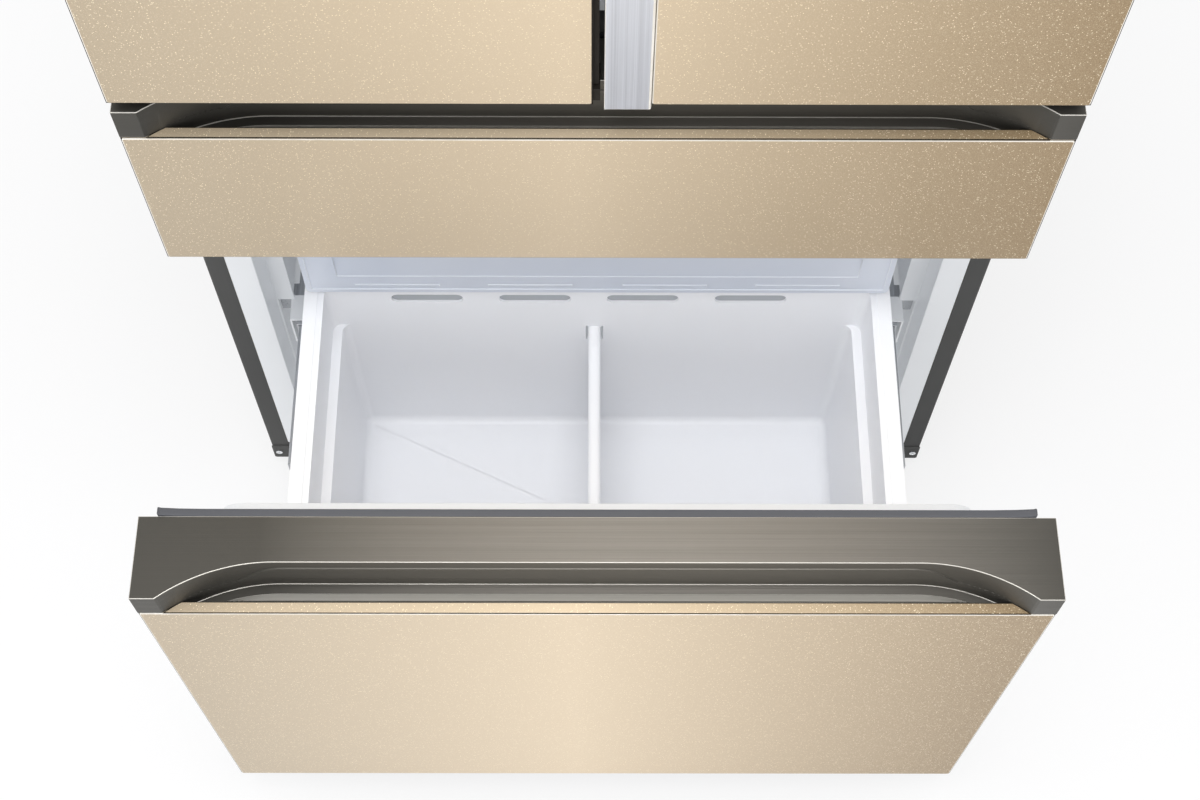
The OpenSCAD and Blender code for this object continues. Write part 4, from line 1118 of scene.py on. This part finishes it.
def tray_edge_highlight():
    """Painted highlight and glow: the rounded edges near white, as clear plastic looks along its
    edges.
    """
    return moulded("tray_edge_highlight", linear(250, 252, 254), linear(244, 247, 252),
                   rough=0.3, grain=900, depth=0.03, glow=0.12)


def tray():
    low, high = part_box("freezer_tray")
    # The rounded edges take a near-white finish with a small glow: painted highlight and painted
    # light.
    tub = dressed(block("tray_tub", (-TRAY_HALF, low.y, low.z), (TRAY_HALF, high.y, high.z)),
                  "freezer_tray", tray_edge_highlight())
    with editing(tub):
        pick("EDGE", lambda edge: runs_along(edge, 1) and middle(edge).z < low.z + MM)
        bpy.ops.mesh.bevel(offset=TRAY_CORNER, segments=5)
        pick("FACE", lambda face: face.normal.z > 0.9)
        bpy.ops.mesh.inset(thickness=TRAY_WALL)
        bpy.ops.mesh.extrude_region_move(
            TRANSFORM_OT_translate={"value": (0, 0, low.z + TRAY_WALL - high.z)})
        bpy.ops.transform.resize(value=(1 - TRAY_CORNER / TRAY_HALF, 1, 1))
        pick("FACE", lambda face: face.normal.y < -0.9 and middle(face).y < low.y + MM)
        bpy.ops.mesh.inset(thickness=TRAY_BORDER)
        bpy.ops.mesh.extrude_region_move(TRANSFORM_OT_translate={"value": (0, BORDER_STEP, 0)})
    half, rise = TRAY_PANEL
    face = low.y + BORDER_STEP
    cut(tub, block("panel", (-half, face - MM, low.z + rise),
                   (half, face + PANEL_INSET, high.z - TRAY_BORDER)))
    for x in RIB_PLACES:
        length, height = RIB_SIZE
        cut(tub, block("rib", (x - length / 2, low.y + RIB_BACK, low.z + RIB_HEIGHT - height / 2),
                       (x + length / 2, face + MM, low.z + RIB_HEIGHT + height / 2)), "UNION")
    for side in (-1, 1):
        ends = sorted((side * (TRAY_HALF - MM), side * high.x))
        cut(tub, block("flange", (ends[0], low.y + FLANGE_ENDS[0], FLANGE_LOW),
                       (ends[1], high.y - FLANGE_ENDS[1], FLANGE_LOW + TRAY_WALL)), "UNION")
    return rounded(tub, TRAY_EDGE, angle=SOFT_ANGLE, material=EDGE)


print("tray:", len(tray().data.polygons), "faces")

# %% [markdown]
# ## The freezer drawer's gasket
#
# A gasket is an extruded bellows with a magnet strip in its flat face, mitred and welded at the
# corners. It is soft, so it isn't quite straight: the welded corners stand up. From above only
# its outer side shows, as one even band, so it is a frame: a block, its middle cut out. The frame
# is cut across in a few places near both ends, and what lies outside each cut is lifted a little.

# %% Let the gasket's corners rise
GASKET_WIDTH = 14.5 * MM
GASKET_ROUND = 1.2 * MM
GASKET_RISE = 2 * MM
GASKET_END = 5.5 * MM
CORNER_RISE = ((340 * MM, 0.4 * MM), (360 * MM, 1.2 * MM),
               (380 * MM, 1.4 * MM), (396 * MM, 1.6 * MM))


def merged(node):
    """A copy of a CAD node's mesh for more work, its doubles merged and its flat faces joined."""
    piece = dressed(copied(frame["nodes"][node], node + "_soft"), node)
    with editing(piece):
        bpy.ops.mesh.select_all(action="SELECT")
        bpy.ops.mesh.remove_doubles(threshold=HAIR)
        bpy.ops.mesh.dissolve_limited(angle_limit=FLAT_ANGLE)
    return piece


def risen_gasket():
    low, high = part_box("freezer_gasket")
    low, high = low + Vector((GASKET_END, 0, 0)), high + Vector((-GASKET_END, 0, GASKET_RISE))
    ring = dressed(block("freezer_gasket_ring", low, high), "freezer_gasket")
    cut(ring, block("window", (low.x + GASKET_WIDTH, low.y - MM, low.z + GASKET_WIDTH),
                    (high.x - GASKET_WIDTH, high.y + MM, high.z - GASKET_WIDTH)))
    with editing(ring):
        for place, rise in CORNER_RISE:
            for side in (-1, 1):
                bpy.ops.mesh.select_all(action="SELECT")
                bpy.ops.mesh.bisect(plane_co=(side * place, 0, 0), plane_no=(1, 0, 0))
            pick("VERT", lambda vert: vert.co.z > high.z - GASKET_WIDTH - MM
                 and abs(vert.co.x) > place + HAIR)
            bpy.ops.transform.translate(value=(0, 0, rise))
    return rounded(ring, GASKET_ROUND, angle=SOFT_ANGLE)


print("gasket:", len(risen_gasket().data.polygons), "faces")

# %% [markdown]
# ## Everything that only needs its edges rounded
#
# No moulded or folded piece has a knife edge, and it is the thin highlight along an edge that
# tells the eye what a piece is made of. Where the CAD form is already right, the piece is a copy
# with its edges rounded by what its process leaves: about half a millimetre on folded steel, a
# millimetre or two on moulded plastic, and more on vacuum-formed liners.

# %% Round the remaining pieces
EDGES = {
    2.5 * MM: ("freezer_inner_panel", "middle_inner_panel", "left_door_liner", "right_door_liner",
               "top_hinge_covers", "freezer_liner", "middle_liner", "fridge_liner"),
    1.2 * MM: ("left_door_bins", "right_door_bins", "crisper_left", "crisper_right", "middle_box",
               "rail_housings", "fridge_duct_cover", "mullion_bar", "compressor", "roller_left",
               "roller_right", "left_door_gasket", "right_door_gasket", "middle_gasket"),
    0.8 * MM: ("left_door_body", "right_door_body", "middle_front", "freezer_front", "foot_left",
               "foot_right", "outer_wrapper", "cross_rails", "base_pan"),
    0.4 * MM: ("top_hinge_brackets", "middle_hinge_brackets", "slide_members",
               "freezer_runners", "cabinet_rails", "middle_runners", "cord_inlet",
               "corner_brackets", "screws", "shelf_frames"),
}
for width, nodes in EDGES.items():
    pieces = [rounded(merged(node), width, angle=SOFT_ANGLE) for node in nodes]
    print("rounded by %.1f mm:" % (width / MM), len(pieces), "pieces")

# %% [markdown]
# ## Floor, background and lamps
#
# The photo is a cut-out on white. The floor is a real diffuse plane that takes a soft shadow,
# mixed with white for rays that come from the camera or from a reflection. The world is white for
# the same rays and a plain grey level for the light that it gives. Away from the object the floor
# turns all white, so that its far edge never shows. Three area lamps then model the form: a wide
# one above, a softer one in front, and a weak one at the side.

# %% Lay the floor
FLOOR_SIZE = 40
FLOOR_GREY = linear(240, 240, 241)
FLOOR_WHITE = 0.72
FLOOR_FADE = (1.5, 25)


def seen_rays(graph):
    """1 for rays from the camera and for reflected and refracted ones."""
    path = graph.node("ShaderNodeLightPath")
    total = path.outputs["Is Camera Ray"]
    for label in ("Is Glossy Ray", "Is Transmission Ray"):
        greater = graph.node("ShaderNodeMath", {"operation": "MAXIMUM"}, total, path.outputs[label])
        total = greater.outputs[0]
    return total


bpy.ops.object.select_all(action="DESELECT")
bpy.ops.mesh.primitive_plane_add(size=FLOOR_SIZE, location=(0, 0, 0))
floor = bpy.context.object
floor.name = "studio_floor"
floor_finish = Finish("studio_floor", roughness=0.9)
floor_finish.sends(base_color=FLOOR_GREY)
glow = floor_finish.node("ShaderNodeEmission", None, Color=WHITE, Strength=1.0)
east, north = floor_finish.axis("X"), floor_finish.axis("Y")
away = (east * east + north * north).between(*FLOOR_FADE)
share = Value(floor_finish, seen_rays(floor_finish)) * (away * (1 - FLOOR_WHITE) + FLOOR_WHITE)
blend = floor_finish.node("ShaderNodeMixShader", None, share, floor_finish.shader.outputs[0],
                          glow.outputs[0])
surface = floor_finish.tree.nodes["Material Output"].inputs["Surface"]
floor_finish.plug(surface, blend.outputs[0])
floor.data.materials.append(floor_finish.material)
print("floor:", FLOOR_SIZE, "m wide")

# %% Whiten the background
SKY_LEVEL = 0.86
world = bpy.data.worlds.new("studio")
bpy.context.scene.world = world
world.use_nodes = True
sky = Graph(world.node_tree)
lit = sky.tree.nodes["Background"]
sky.plug(lit.inputs["Color"], WHITE)
sky.plug(lit.inputs["Strength"], SKY_LEVEL)
white = sky.node("ShaderNodeBackground", None, Color=WHITE, Strength=1.0)
chooser = sky.node("ShaderNodeMixShader", None, seen_rays(sky), lit.outputs[0], white.outputs[0])
sky.plug(sky.tree.nodes["World Output"].inputs["Surface"], chooser.outputs[0])
print("background: white, its light at", SKY_LEVEL)


# %% Hang the lamps
def lamp(name, place, target, size, power):
    """A rectangular area lamp that looks at a target."""
    data = bpy.data.lights.new(name, "AREA")
    data.shape = "RECTANGLE"
    data.size, data.size_y = size
    data.energy = power
    made = bpy.data.objects.new(name, data)
    made.location = place
    made.rotation_euler = (Vector(target) - Vector(place)).to_track_quat("-Z", "Y").to_euler()
    bpy.context.scene.collection.objects.link(made)
    made.visible_camera = False
    return made


lamps = [
    lamp("overhead", place=(-0.1, -0.9, 3.6), target=(0, -0.3, 0.6), size=(1.3, 1.6), power=41),
    lamp("front", place=(-0.7, -5.2, 3.0), target=(0, -0.3, 0.8), size=(1.6, 3.2), power=81),
    lamp("side", place=(-2.6, -0.8, 1.8), target=(0, -0.2, 0.9), size=(1.2, 1.8), power=6),
]
print("lamps:", [made.name for made in lamps])
